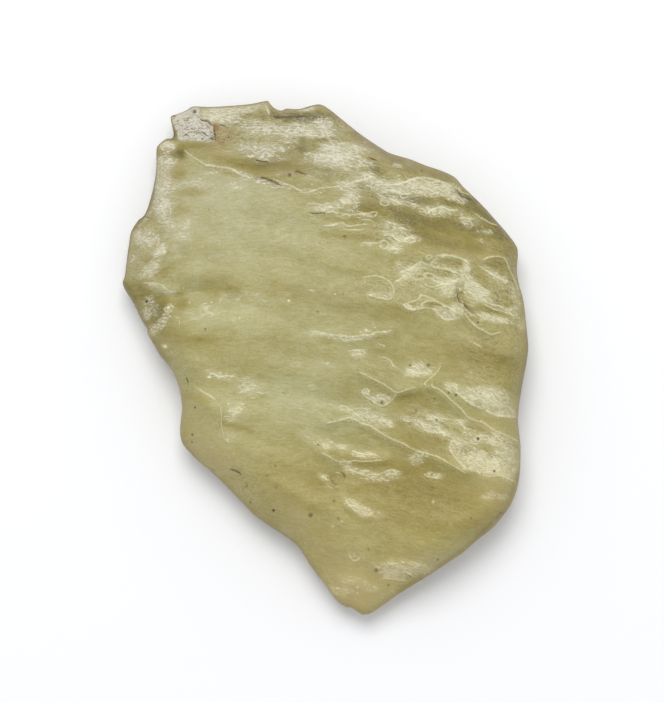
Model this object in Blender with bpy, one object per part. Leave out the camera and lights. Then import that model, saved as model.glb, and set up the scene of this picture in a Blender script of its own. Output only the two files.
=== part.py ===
"""One piece of Libyan desert glass: a wind-worn slab of natural glass lying on its flatter side.

The slab is made of two sheets of points. The upper sheet runs from the middle out to the rim, the
lower one from the middle out to just inside the rim, and a strip joins them. Both are square grids
rounded onto a disc, whose radius is then stretched to the outline in each direction. The height at a
point comes from how far it is inside the rim, from a broad crown, and from the crests, grooves,
dimples and broken faces that wind and breakage left. Lengths are millimetres until the mesh is made.
"""

import bpy
import numpy as np

MM = 0.001

# Driving dimensions
CROWN_HEIGHT = 14.2
CROWN_DROP = 3.0
HALF_WIDTH = 30.0
HALF_LENGTH = 38.0
CROWN_TILT = (0.030, -0.022)
FLAT_SPOT_MIDDLE = (1.5, 0.5)
FLAT_SPOT_RADII = (10.0, 14.0)
UNDERSIDE_RISE = 0.060
UNDERSIDE_WIDTH = 10.0

# Grid: cells across each sheet, how the rings crowd towards the rim, and the radius that the middle
# rings tend to
UPPER_CELLS = 60
LOWER_CELLS = UPPER_CELLS // 2
RING_CROWDING = 0.43
MIDDLE_RADIUS = 31.0
LOWER_SHEET_REACH = 0.97
SPAN_STEPS = 6
SPOKE_ZONE = 2.5

# The outline seen from above, clockwise from the corner above the notch. +Y is the blunt broken end.
OUTLINE = (
    (-22.5, 36.3), (-22.1, 36.75), (-20.4, 37.2), (-19.0, 38.0), (-16.5, 38.0), (-11.4, 38.3),
    (-8.7, 38.8), (-7.8, 38.8), (-7.0, 38.0), (-6.3, 37.5), (-5.5, 37.5), (-4.4, 37.85),
    (-3.4, 37.6), (-1.5, 38.2), (0.1, 38.3), (1.7, 37.5), (3.8, 35.9), (6.2, 33.9), (8.7, 32.0),
    (10.8, 30.8), (13.2, 30.2), (15.6, 29.2), (18.0, 28.4), (19.8, 27.7), (20.6, 27.2),
    (21.8, 25.6), (23.6, 24.1), (24.9, 22.6), (26.7, 20.7), (28.2, 18.9), (29.3, 17.5),
    (29.7, 16.2), (29.4, 13.5), (29.6, 12.2), (30.2, 10.2), (30.6, 7.8), (30.9, 4.8),
    (31.2, 1.8), (31.1, 0.2), (30.6, -2.6), (30.0, -5.6), (29.7, -7.5), (29.7, -10.2),
    (30.0, -14.0), (29.9, -17.3), (29.5, -19.2), (28.8, -21.0), (27.6, -23.0), (25.2, -25.8),
    (23.1, -27.5), (21.3, -29.0), (18.5, -30.9), (14.0, -33.9), (11.7, -35.3), (7.8, -37.9),
    (6.9, -38.2), (6.0, -38.1), (4.8, -37.4), (3.3, -36.8), (2.4, -36.0), (0.9, -33.9),
    (-1.2, -31.1), (-3.3, -28.0), (-4.5, -26.8), (-9.0, -23.8), (-10.5, -22.6), (-12.5, -20.4),
    (-16.5, -16.5), (-17.7, -15.7), (-20.3, -13.0), (-21.0, -10.5), (-20.7, -6.8),
    (-21.5, -2.7), (-22.4, -1.0), (-24.6, 1.8), (-25.8, 3.6), (-25.9, 4.3), (-26.7, 5.7),
    (-28.4, 9.3), (-29.3, 10.7), (-29.5, 11.5), (-29.2, 14.7), (-28.7, 18.3), (-28.4, 19.4),
    (-27.3, 21.0), (-26.4, 21.8), (-25.4, 24.5), (-24.6, 28.8), (-24.6, 31.2), (-24.2, 32.3),
    (-23.2, 33.2), (-22.1, 33.35), (-22.0, 34.6),
)

# Round the slab, by compass direction from the middle: degrees from +X, the height of the widest
# line above the surface it lies on, and the width over which the upper edge rolls over.
RIM = (
    (0, 6.0, 3.4), (30, 5.6, 4.4), (60, 5.0, 6.0), (80, 4.9, 4.0), (95, 4.7, 3.0), (115, 4.4, 2.6),
    (130, 4.2, 2.4), (150, 4.3, 4.0), (165, 4.7, 5.0), (185, 5.0, 4.6), (215, 5.0, 4.4),
    (240, 4.4, 5.0), (262, 3.8, 7.5), (280, 3.6, 9.0), (300, 4.8, 5.0), (330, 5.8, 3.6),
)

# Crests and grooves of the upper face: height, half width, and the line that each one follows.
CRESTS_AND_GROOVES = {
    "upper crest of the main face": (
        0.50, 1.4,
        ((-21.3, 31.5), (-19.5, 30.8), (-17.3, 29.0), (-13.2, 28.6), (-10.5, 27.3), (-7.2, 26.4),
         (-2.6, 24.9), (0.8, 24.2)),
    ),
    "channel above it": (-0.80, 1.8, ((-21.2, 32.4), (-15.8, 31.3), (-10.5, 29.4), (-4.5, 27.7), (0.5, 26.4))),
    "groove inside the end": (-0.90, 1.2, ((-7.2, 36.5), (-3.0, 36.4), (1.0, 36.3), (4.0, 34.6))),
    "frosted band": (0.40, 2.4, ((-10.0, 33.2), (-3.0, 32.8), (3.0, 30.6), (6.0, 27.6), (4.5, 23.6))),
    "long hollow": (-0.70, 2.2, ((4.5, 22.6), (9.8, 22.3), (14.3, 20.9), (19.5, 20.2), (24.0, 18.6))),
    "frosted tongue": (0.50, 1.8, ((9.0, 26.2), (14.3, 26.6), (18.0, 25.9), (20.4, 24.3))),
    "cleft in the rim": (-0.90, 1.0, ((20.4, 26.2), (21.2, 24.8), (22.8, 24.1))),
    "low swell": (0.35, 1.3, ((15.8, 21.8), (19.5, 22.0), (22.8, 20.8))),
    "crest along the right rim": (0.50, 1.0, ((24.6, 14.9), (26.3, 15.5), (27.5, 15.0), (28.4, 13.2), (29.2, 11.2))),
    "curved cut": (-0.70, 1.1, ((20.7, 10.6), (20.5, 9.2), (21.4, 7.9), (22.9, 6.0))),
    "middle crest": (0.40, 1.2, ((6.0, -1.8), (9.0, -3.2), (11.4, -4.8), (14.4, -3.8), (17.0, -4.2))),
    "right crest": (0.50, 1.2, ((17.0, -4.2), (19.5, -6.0), (22.0, -8.4), (24.0, -9.2), (25.5, -10.4), (29.3, -12.1))),
    "long crest": (
        0.50, 1.3,
        ((0.5, -9.3), (4.5, -8.4), (7.2, -9.6), (10.2, -11.4), (13.5, -13.0), (16.8, -14.3),
         (19.8, -15.5), (21.8, -16.5)),
    ),
    "lower crest": (0.40, 1.4, ((-0.3, -13.5), (2.7, -14.7), (4.5, -15.6), (8.7, -17.6))),
    "faint crest": (0.30, 1.3, ((0.0, 4.2), (4.0, 3.6), (7.5, 3.7), (10.8, 4.4))),
    "left shoulder": (0.40, 1.4, ((-20.7, 31.0), (-20.9, 26.5), (-21.4, 23.0), (-22.3, 20.8))),
    "slanting rib": (0.65, 1.3, ((-26.7, 12.5), (-24.8, 14.3), (-23.1, 16.3))),
    "hollow beside the rib": (-0.50, 1.2, ((-24.4, 12.8), (-22.4, 14.6), (-20.8, 16.0))),
    "left crest": (0.45, 1.1, ((-26.6, 11.6), (-24.0, 11.3), (-22.5, 10.4), (-21.0, 10.4))),
    "hollow below the left crest": (-0.60, 1.5, ((-25.6, 9.8), (-22.5, 9.2), (-19.5, 9.9), (-14.5, 10.8))),
    "lower left rib": (0.55, 1.2, ((-24.9, 3.9), (-23.5, 5.3), (-22.5, 6.9), (-22.4, 8.3))),
    "pocket behind it": (-0.50, 1.1, ((-25.6, 5.6), (-24.4, 7.2), (-23.7, 8.8))),
    "lower left roll": (0.45, 1.4, ((-19.0, -12.6), (-16.0, -14.6), (-13.2, -17.2), (-11.4, -20.2))),
}

# Swells and dimples of the upper face: middle, half length, half width, turn in degrees, height.
SWELLS_AND_DIMPLES = {
    "thin end of the tip": (6.0, -37.0, 12.0, 10.0, 20, -4.0),
    "thin blunt end": (-14.0, 35.0, 14.0, 6.0, 0, -1.2),
    "left lobe": (-26.3, 18.3, 3.0, 2.4, 60, 0.45),
    "lower right hollow": (14.0, -18.0, 12.0, 4.5, -14, -0.80),
    "middle hollow": (18.0, 1.5, 11.0, 4.0, -8, -0.50),
    "pale rise": (24.0, -15.0, 5.5, 3.4, -20, 0.60),
    "upper pale rise": (23.3, -5.5, 5.0, 2.2, -24, 0.50),
    "tip rise": (11.7, -31.2, 4.6, 2.0, -6, 0.40),
    "main face swell": (-10.0, 21.0, 10.0, 5.0, -6, 0.40),
    "main face rise": (-12.0, 4.5, 11.0, 4.0, 3, 0.40),
    "left foot rise": (-13.5, -7.5, 4.5, 3.0, -10, 0.35),
    "great dimple": (19.2, 13.6, 3.3, 1.9, -14, -0.60),
    "rim dimple": (25.4, 13.0, 2.6, 1.6, -38, -0.50),
    "long dimple": (25.2, 7.3, 3.6, 1.3, -14, -0.50),
    "ring dimple": (2.4, -17.4, 1.7, 1.5, 0, -0.60),
    "shell chip": (-12.3, -18.3, 2.4, 1.7, -42, -0.60),
}

# The same for the lower face, where a positive height lifts the surface off the ground.
UNDERSIDE_HOLLOWS = {
    "hollow under the right side": (19.0, -14.0, 8.0, 5.0, -30, 0.9),
    "hollow under the left side": (-17.0, 12.0, 9.0, 4.5, 40, 0.8),
    "hollow under the tip": (4.0, -25.0, 7.0, 3.5, 60, 0.7),
    "hollow under the blunt end": (2.0, 26.5, 10.0, 3.5, -12, 0.8),
    "dimple under the rim": (22.0, 10.0, 3.5, 2.4, 20, 0.6),
}

# Broken faces: a point on the plane, and its fall per millimetre along X and Y. Each one cuts off
# whatever stands above its plane.
BROKEN_FACES = {
    "white face above the notch": (-16.5, 32.9, 8.6, 0.26, -0.24),
    "left side face": (-20.9, 26.0, 10.1, 0.42, -0.13),
    "sloping blunt end": (0.0, 36.5, 8.2, 0.0, -0.55),
    "face of the lower left edge": (-17.0, -14.0, 10.6, 0.40, 0.38),
}
FACE_SOFTNESS = 0.25

# Wind ripples: wavelength, direction of travel in degrees, phase in degrees and height.
RIPPLES = ((11.0, 78, 20, 0.16), (6.3, 84, 140, 0.11), (4.4, 70, 250, 0.07), (8.7, 12, 60, 0.09))


def smooth_closed_curve(points):
    """A closed Catmull-Rom curve: each span between two given points is the cubic that leaves and
    arrives parallel to the chords joining their neighbours."""
    knots = np.array(points, float)
    before, after = np.roll(knots, 1, axis=0), np.roll(knots, -1, axis=0)
    beyond = np.roll(knots, -2, axis=0)
    t = np.linspace(0, 1, SPAN_STEPS, endpoint=False)[None, :, None]
    p0, p1, p2, p3 = (p[:, None, :] for p in (before, knots, after, beyond))
    curve = 0.5 * (2 * p1 + (p2 - p0) * t + (2 * p0 - 5 * p1 + 4 * p2 - p3) * t**2
                   + (3 * p1 - p0 - 3 * p2 + p3) * t**3)
    return curve.reshape(-1, 2)


def outline_radius(curve, angle):
    """Distance from the middle to the outline in each direction. The outline can be seen whole from
    the middle, so there is one such distance."""
    around = np.arctan2(curve[:, 1], curve[:, 0])
    return np.interp(angle, around, np.hypot(curve[:, 0], curve[:, 1]), period=2 * np.pi)


def sheet_plan(curve, cells, reach):
    """Plan positions of one sheet. A square grid is rounded onto a disc by shrinking each coordinate
    as the other grows: a times the root of one less half b squared, and the same for b. The rings
    crowd together near the rim, where the slab curves most, and the disc is stretched to the outline."""
    line = np.linspace(-1, 1, cells + 1)
    a, b = np.meshgrid(line, line, indexing="ij")
    x, y = a * np.sqrt(1 - b**2 / 2), b * np.sqrt(1 - a**2 / 2)
    ring, angle = np.hypot(x, y), np.arctan2(y, x)
    crowded = ring * (1 + RING_CROWDING * (1 - ring**2))
    radius = crowded * (MIDDLE_RADIUS + (outline_radius(curve, angle) - MIDDLE_RADIUS) * crowded**2)
    return np.stack([radius * np.cos(angle), radius * np.sin(angle)], axis=-1) * reach


def distance_to_line(x, y, points):
    """Distance from each plan position to a line of straight runs: the least over its runs, where
    the nearest point of a run is the foot of the perpendicular, kept between the run's ends."""
    nearest = np.full(x.shape, np.inf)
    for (ax, ay), (bx, by) in zip(points[:-1], points[1:]):
        run_x, run_y = bx - ax, by - ay
        foot = ((x - ax) * run_x + (y - ay) * run_y) / (run_x**2 + run_y**2)
        foot = np.clip(foot, 0, 1)
        nearest = np.minimum(nearest, np.hypot(x - ax - foot * run_x, y - ay - foot * run_y))
    return nearest


def inside_distance(x, y, curve):
    """How far each plan position lies inside the outline. Close to the rim this is measured along the
    spoke from the middle, which is exactly zero on the rim, and deeper in to the nearest rim."""
    spoke = outline_radius(curve, np.arctan2(y, x)) - np.hypot(x, y)
    spoke = np.maximum(spoke, 0)
    nearest = distance_to_line(x, y, np.vstack([curve, curve[:1]]))
    deep = np.clip(spoke / SPOKE_ZONE, 0, 1)
    return spoke * (1 - deep) + nearest * deep


def round_the_rim(x, y, column):
    """A value of the RIM table at each position's compass direction, blended smoothly between rows."""
    table = np.array(RIM, float)
    degrees = np.degrees(np.arctan2(y, x)) % 360
    around = np.append(table[:, 0], 360)
    values = np.append(table[:, column], table[0, column])
    low = np.clip(np.searchsorted(around, degrees, side="right") - 1, 0, len(table) - 1)
    t = (degrees - around[low]) / (around[low + 1] - around[low])
    t = t * t * (3 - 2 * t)
    return values[low] * (1 - t) + values[low + 1] * t


def roll_over(inside, width):
    """Share of the full height reached at a distance inside the rim: a quarter of an ellipse, upright
    at the rim and level once the width is passed."""
    t = np.clip(inside / width, 0, 1)
    return np.sqrt(1 - (1 - t) ** 2)


def crown(x, y):
    """The broad upper face: a tilted dome with its crests, grooves, swells and dimples added."""
    height = CROWN_HEIGHT + CROWN_TILT[0] * x + CROWN_TILT[1] * y
    height = height - CROWN_DROP * ((x / HALF_WIDTH) ** 2 + (y / HALF_LENGTH) ** 2)
    for rise, half_width, line in CRESTS_AND_GROOVES.values():
        height = height + rise * np.exp(-((distance_to_line(x, y, line) / half_width) ** 2))
    return height + ovals(x, y, SWELLS_AND_DIMPLES) + ripples(x, y)


def ovals(x, y, table):
    """Sum of oval swells and dimples, each falling off as a bell curve along its two axes."""
    total = np.zeros_like(x)
    for middle_x, middle_y, half_length, half_width, turn, rise in table.values():
        angle = np.radians(turn)
        along = ((x - middle_x) * np.cos(angle) + (y - middle_y) * np.sin(angle)) / half_length
        across = ((y - middle_y) * np.cos(angle) - (x - middle_x) * np.sin(angle)) / half_width
        total = total + rise * np.exp(-(along**2 + across**2))
    return total


def ripples(x, y):
    """Long shallow waves left by the wind: a sum of cosines."""
    total = np.zeros_like(x)
    for wavelength, direction, phase, rise in RIPPLES:
        angle = np.radians(direction)
        travel = (x * np.cos(angle) + y * np.sin(angle)) / wavelength
        total = total + rise * np.cos(2 * np.pi * travel + np.radians(phase))
    return total


def lower_of(first, second, softness):
    """The lower of two heights, with the corner between them rounded over the softness."""
    return 0.5 * (first + second - np.sqrt((first - second) ** 2 + softness**2))


def upper_height(x, y, curve):
    """Height of the upper sheet: from the widest line up to the crown, cut by the broken faces."""
    inside = inside_distance(x, y, curve)
    rim_height = round_the_rim(x, y, 1)
    full = crown(x, y)
    for px, py, pz, fall_x, fall_y in BROKEN_FACES.values():
        plane = pz + fall_x * (x - px) + fall_y * (y - py)
        full = lower_of(full, plane, FACE_SOFTNESS)
    full = np.maximum(full, rim_height + 1.0)
    return rim_height + (full - rim_height) * roll_over(inside, round_the_rim(x, y, 2))


def lower_height(x, y, curve):
    """Height of the lower sheet: zero on the flat spot that the slab rests on, then a slow rise, and
    near the rim a curve up to the widest line."""
    inside = inside_distance(x, y, curve)
    out_x = (x - FLAT_SPOT_MIDDLE[0]) / FLAT_SPOT_RADII[0]
    out_y = (y - FLAT_SPOT_MIDDLE[1]) / FLAT_SPOT_RADII[1]
    past_the_flat = np.maximum(np.hypot(out_x, out_y) - 1, 0)
    rise = UNDERSIDE_RISE * past_the_flat * FLAT_SPOT_RADII[1]
    worn = np.minimum(past_the_flat * 3, 1) * (0.2 + ovals(x, y, UNDERSIDE_HOLLOWS) + ripples(y + 7, x - 3))
    tuck = 1 - roll_over(inside, UNDERSIDE_WIDTH * np.clip(past_the_flat * 2.5, 0.05, 1))
    rim_height = round_the_rim(x, y, 1)
    return np.clip(rise + np.maximum(worn, 0), 0, rim_height * 0.6) * (1 - tuck) + rim_height * tuck


def border_of(cells):
    """Grid corners on a sheet's border, anticlockwise from the middle of the +X side."""
    last, half = cells, cells // 2
    walk = [(last, j) for j in range(half, last)]
    walk += [(i, last) for i in range(last, 0, -1)]
    walk += [(0, j) for j in range(last, 0, -1)]
    walk += [(i, 0) for i in range(0, last)]
    walk += [(last, j) for j in range(0, half)]
    return [i * (cells + 1) + j for i, j in walk]


def sheet_faces(cells, first, facing_up):
    """The quads of one sheet, whose corners are numbered row by row from first."""
    row = np.arange(cells)
    i, j = (grid.ravel() for grid in np.meshgrid(row, row, indexing="ij"))
    corner = first + i * (cells + 1) + j
    quads = np.column_stack([corner, corner + cells + 1, corner + cells + 2, corner + 1])
    return (quads if facing_up else quads[:, ::-1]).tolist()


def slab_mesh():
    """Vertices in metres and faces of the whole slab, centred over its box."""
    curve = smooth_closed_curve(OUTLINE)
    upper = sheet_plan(curve, UPPER_CELLS, 1.0).reshape(-1, 2)
    lower = sheet_plan(curve, LOWER_CELLS, LOWER_SHEET_REACH).reshape(-1, 2)
    upper_z = upper_height(upper[:, 0], upper[:, 1], curve)
    lower_z = lower_height(lower[:, 0], lower[:, 1], curve)
    points = np.vstack([np.column_stack([upper, upper_z]), np.column_stack([lower, lower_z])])
    faces = sheet_faces(UPPER_CELLS, 0, True)
    faces += sheet_faces(LOWER_CELLS, len(upper), False)
    over = border_of(UPPER_CELLS)
    under = [len(upper) + corner for corner in border_of(LOWER_CELLS)]
    for k, corner in enumerate(under):
        following = under[(k + 1) % len(under)]
        first, middle, last = (over[(2 * k + step) % len(over)] for step in range(3))
        faces += [(first, corner, middle), (middle, corner, following), (middle, following, last)]
    middle_of_box = (points[:, :2].min(axis=0) + points[:, :2].max(axis=0)) / 2
    points[:, :2] -= middle_of_box
    return points * MM, faces


def glass_material():
    """Pale olive-yellow natural glass with a worn, satin surface."""
    material = bpy.data.materials.new("desert_glass")
    material.use_nodes = True
    surface = material.node_tree.nodes["Principled BSDF"]
    surface.inputs["Base Color"].default_value = (0.55, 0.50, 0.27, 1)
    surface.inputs["Roughness"].default_value = 0.38
    surface.inputs["Metallic"].default_value = 0.0
    surface.inputs["Transmission Weight"].default_value = 0.5
    surface.inputs["IOR"].default_value = 1.46
    material.diffuse_color = (0.55, 0.50, 0.27, 1)
    return material


def main():
    for old in list(bpy.data.objects):
        bpy.data.objects.remove(old)
    points, faces = slab_mesh()
    mesh = bpy.data.meshes.new("desert_glass")
    mesh.from_pydata(points.tolist(), [], faces)
    mesh.validate()
    mesh.shade_smooth()
    mesh.materials.append(glass_material())
    glass = bpy.data.objects.new("desert_glass", mesh)
    bpy.context.scene.collection.objects.link(glass)


main()
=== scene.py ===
# %% [markdown]
# # A slab of desert glass
#
# Desert glass is natural glass that wind-blown sand has worn for millions of years. This piece is a flat
# slab, pale olive-yellow and cloudy, with a blunt broken end and a narrow tip. This script dresses the
# plain solid of it: it makes a finer surface of the same form, and then the glass itself.
#
# The first cell loads the plain solid as a fixed frame.

import bpy
import numpy as np
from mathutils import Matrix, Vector


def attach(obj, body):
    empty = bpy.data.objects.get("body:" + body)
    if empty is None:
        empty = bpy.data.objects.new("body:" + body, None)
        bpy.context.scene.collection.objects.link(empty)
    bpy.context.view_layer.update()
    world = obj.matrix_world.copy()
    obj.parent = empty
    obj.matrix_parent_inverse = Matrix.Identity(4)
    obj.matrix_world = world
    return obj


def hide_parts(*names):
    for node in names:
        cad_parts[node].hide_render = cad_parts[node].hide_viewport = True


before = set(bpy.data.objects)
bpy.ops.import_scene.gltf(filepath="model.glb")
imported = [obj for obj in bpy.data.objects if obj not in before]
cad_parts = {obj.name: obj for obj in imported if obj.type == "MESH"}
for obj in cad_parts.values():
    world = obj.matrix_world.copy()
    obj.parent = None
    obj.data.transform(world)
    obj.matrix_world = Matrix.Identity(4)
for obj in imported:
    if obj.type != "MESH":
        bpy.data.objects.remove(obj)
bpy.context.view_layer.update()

# %% [markdown]
# The photograph looks straight down on the slab, so a spot in it is a spot on the slab, and the places
# below are given as they are read off it, in its pixels. One pixel is 0.15 mm of glass, which makes the
# slab 77 mm long. Heights and widths are in millimetres.

# %% From the photograph to the slab
MM = 0.001
PIXEL_MM = 0.15
MIDDLE_OF_SLAB_PX = (320, 360)
PICTURE_PX = (665, 702)


def on_slab(points):
    """Pixels of the photograph to millimetres from the slab's middle: x to the right, y up the picture."""
    points = np.atleast_2d(np.array(points, float))
    return (points - MIDDLE_OF_SLAB_PX) * (PIXEL_MM, -PIXEL_MM)


print("the photograph covers", [round(side * PIXEL_MM, 1) for side in PICTURE_PX], "mm")

# %% [markdown]
# ## The outline
#
# The outline could be a drawn curve, but a function is easier to build on. From the slab's middle every
# spot of the rim can be seen, so the outline is one distance for each direction. The points are read
# clockwise from the corner above the notch, closer together where the rim turns.

# %% The rim as one distance for each direction
RIM_PX = (
    (170.5, 117), (177.7, 113.7), (186.6, 110), (193.1, 106.3), (210, 106.7), (230, 105.6), (250, 103.9),
    (262, 101.5), (268, 101.1), (272.5, 106.7), (280.2, 110.5), (286.3, 108.6), (294.7, 109.0),
    (301.2, 108.5), (310.5, 105.8), (320.3, 104.4), (329.7, 109.5), (341.3, 118.9), (360, 133.8),
    (379.6, 147.2), (390.8, 153.5), (410, 159.3), (426, 165.7), (440.9, 170.7), (454.3, 177.1),
    (462.8, 186.7), (470.3, 193.8), (483, 206.4), (496.5, 221.5), (508.1, 235), (516.1, 246.4),
    (517.6, 255), (516.5, 270), (518.3, 283), (523, 300), (525.4, 320), (527.3, 339), (527.9, 348.5),
    (525.7, 365), (522.5, 381), (519.4, 400), (517.5, 420), (519.3, 437), (520.2, 448), (519.6, 470.4),
    (516.8, 488), (511.2, 503), (502.2, 516.3), (490, 530.1), (477, 540), (463, 552.5), (450.4, 561),
    (424.9, 578), (400, 593.7), (378.3, 609.1), (371, 613.8), (365.6, 615.2), (360.8, 614.6),
    (351.5, 608.3), (345.6, 607.3), (336, 600.4), (323.5, 583.5), (310, 565.5), (299.8, 549),
    (289.7, 539.8), (271.2, 527.3), (255.2, 516.2), (243.5, 504.2), (228.5, 488.7), (211.5, 472),
    (198.2, 461), (185.2, 447.3), (181.3, 440), (180, 430), (181.3, 416), (182.1, 407), (179.6, 389.1),
    (174, 373.8), (166.5, 362.8), (160.5, 356), (154.7, 346), (147.9, 334.3), (147.2, 328.5),
    (142.2, 321.5), (133.9, 304.3), (123.1, 285.5), (124.8, 275.3), (126.6, 259.8), (128.6, 245),
    (131, 231.8), (138, 220.3), (143.8, 215.7), (148.3, 205.5), (153, 188.2), (156.1, 169.8),
    (156.3, 150), (158.8, 144.3), (166.4, 138.5), (173.4, 138.1), (173.1, 129.8),
)
SPAN_STEPS = 8


def smooth_curve(points, closed):
    """A Catmull-Rom curve through the points: the span between two of them is the cubic that leaves and
    arrives parallel to the chords joining their neighbours."""
    knots = np.array(points, float)
    if not closed:
        knots = np.vstack([2 * knots[0] - knots[1], knots, 2 * knots[-1] - knots[-2]])
    p0, p1, p2, p3 = (np.roll(knots, -shift, axis=0)[:, None, :] for shift in range(4))
    t = np.linspace(0, 1, SPAN_STEPS, endpoint=False)[None, :, None]
    spans = 0.5 * (2 * p1 + (p2 - p0) * t + (2 * p0 - 5 * p1 + 4 * p2 - p3) * t**2
                   + (3 * p1 - p0 - 3 * p2 + p3) * t**3)
    if closed:
        return spans.reshape(-1, 2)
    return np.vstack([spans[:len(knots) - 3].reshape(-1, 2), knots[-2]])


rim_curve = smooth_curve(on_slab(RIM_PX), closed=True)
rim_direction = np.arctan2(rim_curve[:, 1], rim_curve[:, 0])
rim_reach = np.hypot(rim_curve[:, 0], rim_curve[:, 1])


def rim_distance(direction):
    """Millimetres from the slab's middle to the rim in each direction."""
    return np.interp(direction, rim_direction, rim_reach, period=2 * np.pi)


def extent(values, digits=1):
    """The least and the greatest of the values, in words."""
    return f"from {values.min():.{digits}f} to {values.max():.{digits}f}"


print("rim:", len(RIM_PX), "points,", extent(rim_reach), "mm out")

# %% [markdown]
# ## Two sheets of points
#
# A plain grid of squares makes even faces, and rounding it onto a disc keeps them even, with no pole in
# the middle. The upper sheet has twice as many cells across as the lower one, because the photograph
# shows only the upper face. The rings crowd together towards the rim, where the slab curves down.

# %% A square grid, rounded onto a disc and stretched to the rim
UPPER_CELLS = 270
LOWER_CELLS = UPPER_CELLS // 2
RING_CROWDING = 0.43
MIDDLE_RADIUS = 31.0
LOWER_SHEET_REACH = 0.992


def sheet_plan(cells, reach):
    """Where the grid's corners lie on the slab. Each coordinate shrinks as the other grows: a times the
    root of one less half b squared, and the same for b. The distance out, s, becomes s times one plus a
    share of one less s squared, and then grows to meet the rim."""
    line = np.linspace(-1, 1, cells + 1)
    a, b = np.meshgrid(line, line, indexing="ij")
    across, along = a * np.sqrt(1 - b**2 / 2), b * np.sqrt(1 - a**2 / 2)
    ring, direction = np.hypot(across, along), np.arctan2(along, across)
    ring = ring * (1 + RING_CROWDING * (1 - ring**2))
    radius = reach * ring * (MIDDLE_RADIUS + (rim_distance(direction) - MIDDLE_RADIUS) * ring**2)
    return (radius * np.cos(direction)).ravel(), (radius * np.sin(direction)).ravel()


upper_x, upper_y = sheet_plan(UPPER_CELLS, 1.0)
lower_x, lower_y = sheet_plan(LOWER_CELLS, LOWER_SHEET_REACH)
print("upper sheet:", upper_x.size, "points; lower sheet:", lower_x.size)

# %% [markdown]
# Every mark on the slab is either a line or a patch, so two measures are enough: how far a point is from
# a line, and how deep it is in an oval. A third one, how far it is inside the rim, rounds the edge.

# %% How far a point is from a line, in an oval, and inside the rim
SPOKE_ZONE = 2.5
BELL_REACH = 3


def along_line(x, y, line):
    """For each point: its distance to the nearest run of the line, positive to the left of the way the
    line goes, and how far along the line that nearest spot is, as a share of the whole."""
    starts, runs = line[:-1], np.diff(line, axis=0)
    lengths = np.hypot(runs[:, 0], runs[:, 1])
    before = np.concatenate([[0], np.cumsum(lengths)])
    best = np.full(x.shape, np.inf)
    signed, share = np.zeros(x.shape), np.zeros(x.shape)
    for start, run, length, gone in zip(starts, runs, lengths, before):
        raw = ((x - start[0]) * run[0] + (y - start[1]) * run[1]) / length**2
        foot = np.clip(raw, 0, 1)
        off_x, off_y = x - start[0] - foot * run[0], y - start[1] - foot * run[1]
        distance = np.hypot(off_x, off_y)
        nearer = distance < best
        best = np.where(nearer, distance, best)
        side = np.where(run[0] * off_y - run[1] * off_x >= 0, 1.0, -1.0)
        signed = np.where(nearer, side * distance, signed)
        share = np.where(nearer, (gone + foot * length) / before[-1], share)
    return signed, share


def close_to(x, y, line, reach):
    """Which points lie in the line's box, widened by this many millimetres on every side."""
    low, high = line.min(axis=0) - reach, line.max(axis=0) + reach
    return np.flatnonzero((x > low[0]) & (x < high[0]) & (y > low[1]) & (y < high[1]))


def in_oval(x, y, middle_x, middle_y, half_length, half_width, slope):
    """Squared distance from an oval's middle, one on its edge. The slope is how many degrees its long
    axis falls to the right."""
    angle = np.radians(-slope)
    along = ((x - middle_x) * np.cos(angle) + (y - middle_y) * np.sin(angle)) / half_length
    across = ((y - middle_y) * np.cos(angle) - (x - middle_x) * np.sin(angle)) / half_width
    return along**2 + across**2


def inside_rim(x, y):
    """Millimetres inside the rim. Close to it this is measured along the spoke from the middle, so it is
    exactly zero on the rim, and deeper in to the nearest spot of the rim."""
    spoke = np.maximum(rim_distance(np.arctan2(y, x)) - np.hypot(x, y), 0)
    nearest = np.abs(along_line(x, y, np.vstack([rim_curve[::2], rim_curve[:1]]))[0])
    deep = np.clip(spoke / SPOKE_ZONE, 0, 1)
    return spoke * (1 - deep) + nearest * deep


upper_inside, lower_inside = inside_rim(upper_x, upper_y), inside_rim(lower_x, lower_y)
print("deepest point is", round(upper_inside.max(), 1), "mm inside the rim")

# %% [markdown]
# ## Wind
#
# Sand cuts long flutes and scallops into the glass. They follow streamlines that run level on the left
# and fall away to the right, so the noise that shapes them is stretched along those lines. Noise could
# come from a texture, but only real relief catches the light and shows from the side.

# %% Streamlines and clouds of noise
FLOW_BEND_FROM = -14.0
FLOW_BEND = 0.0055
FLOW_LEAN = 0.25
LATTICE = 64
OCTAVE_SHIFT = (17.3, 9.1)


def streamlines(x, y):
    """Coordinates along and across the wind, in millimetres. The first is x less a share of y. The second
    is y plus a parabola in x, so a line on which it stays the same falls ever more steeply to the right."""
    past = np.maximum(x - FLOW_BEND_FROM, 0)
    return x - FLOW_LEAN * y, y + FLOW_BEND * past**2


def clouds(u, v, seed, octaves=3):
    """Smooth noise from about -1 to 1: random values on a square lattice, blended between its corners by
    the curve 3t squared less 2t cubed, with finer and fainter copies of itself added."""
    lattice = np.random.default_rng(seed).uniform(-1, 1, (LATTICE, LATTICE))
    total = np.zeros(np.shape(u))
    for octave in range(octaves):
        a = u * 2**octave + OCTAVE_SHIFT[0] * octave
        b = v * 2**octave + OCTAVE_SHIFT[1] * octave
        i, j = np.floor(a).astype(int), np.floor(b).astype(int)
        s, t = a - i, b - j
        s, t = s * s * (3 - 2 * s), t * t * (3 - 2 * t)
        corner = [[lattice[(i + di) % LATTICE, (j + dj) % LATTICE] for dj in (0, 1)] for di in (0, 1)]
        near = corner[0][0] * (1 - t) + corner[0][1] * t
        far = corner[1][0] * (1 - t) + corner[1][1] * t
        total += (near * (1 - s) + far * s) / 2**octave
    return total


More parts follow.
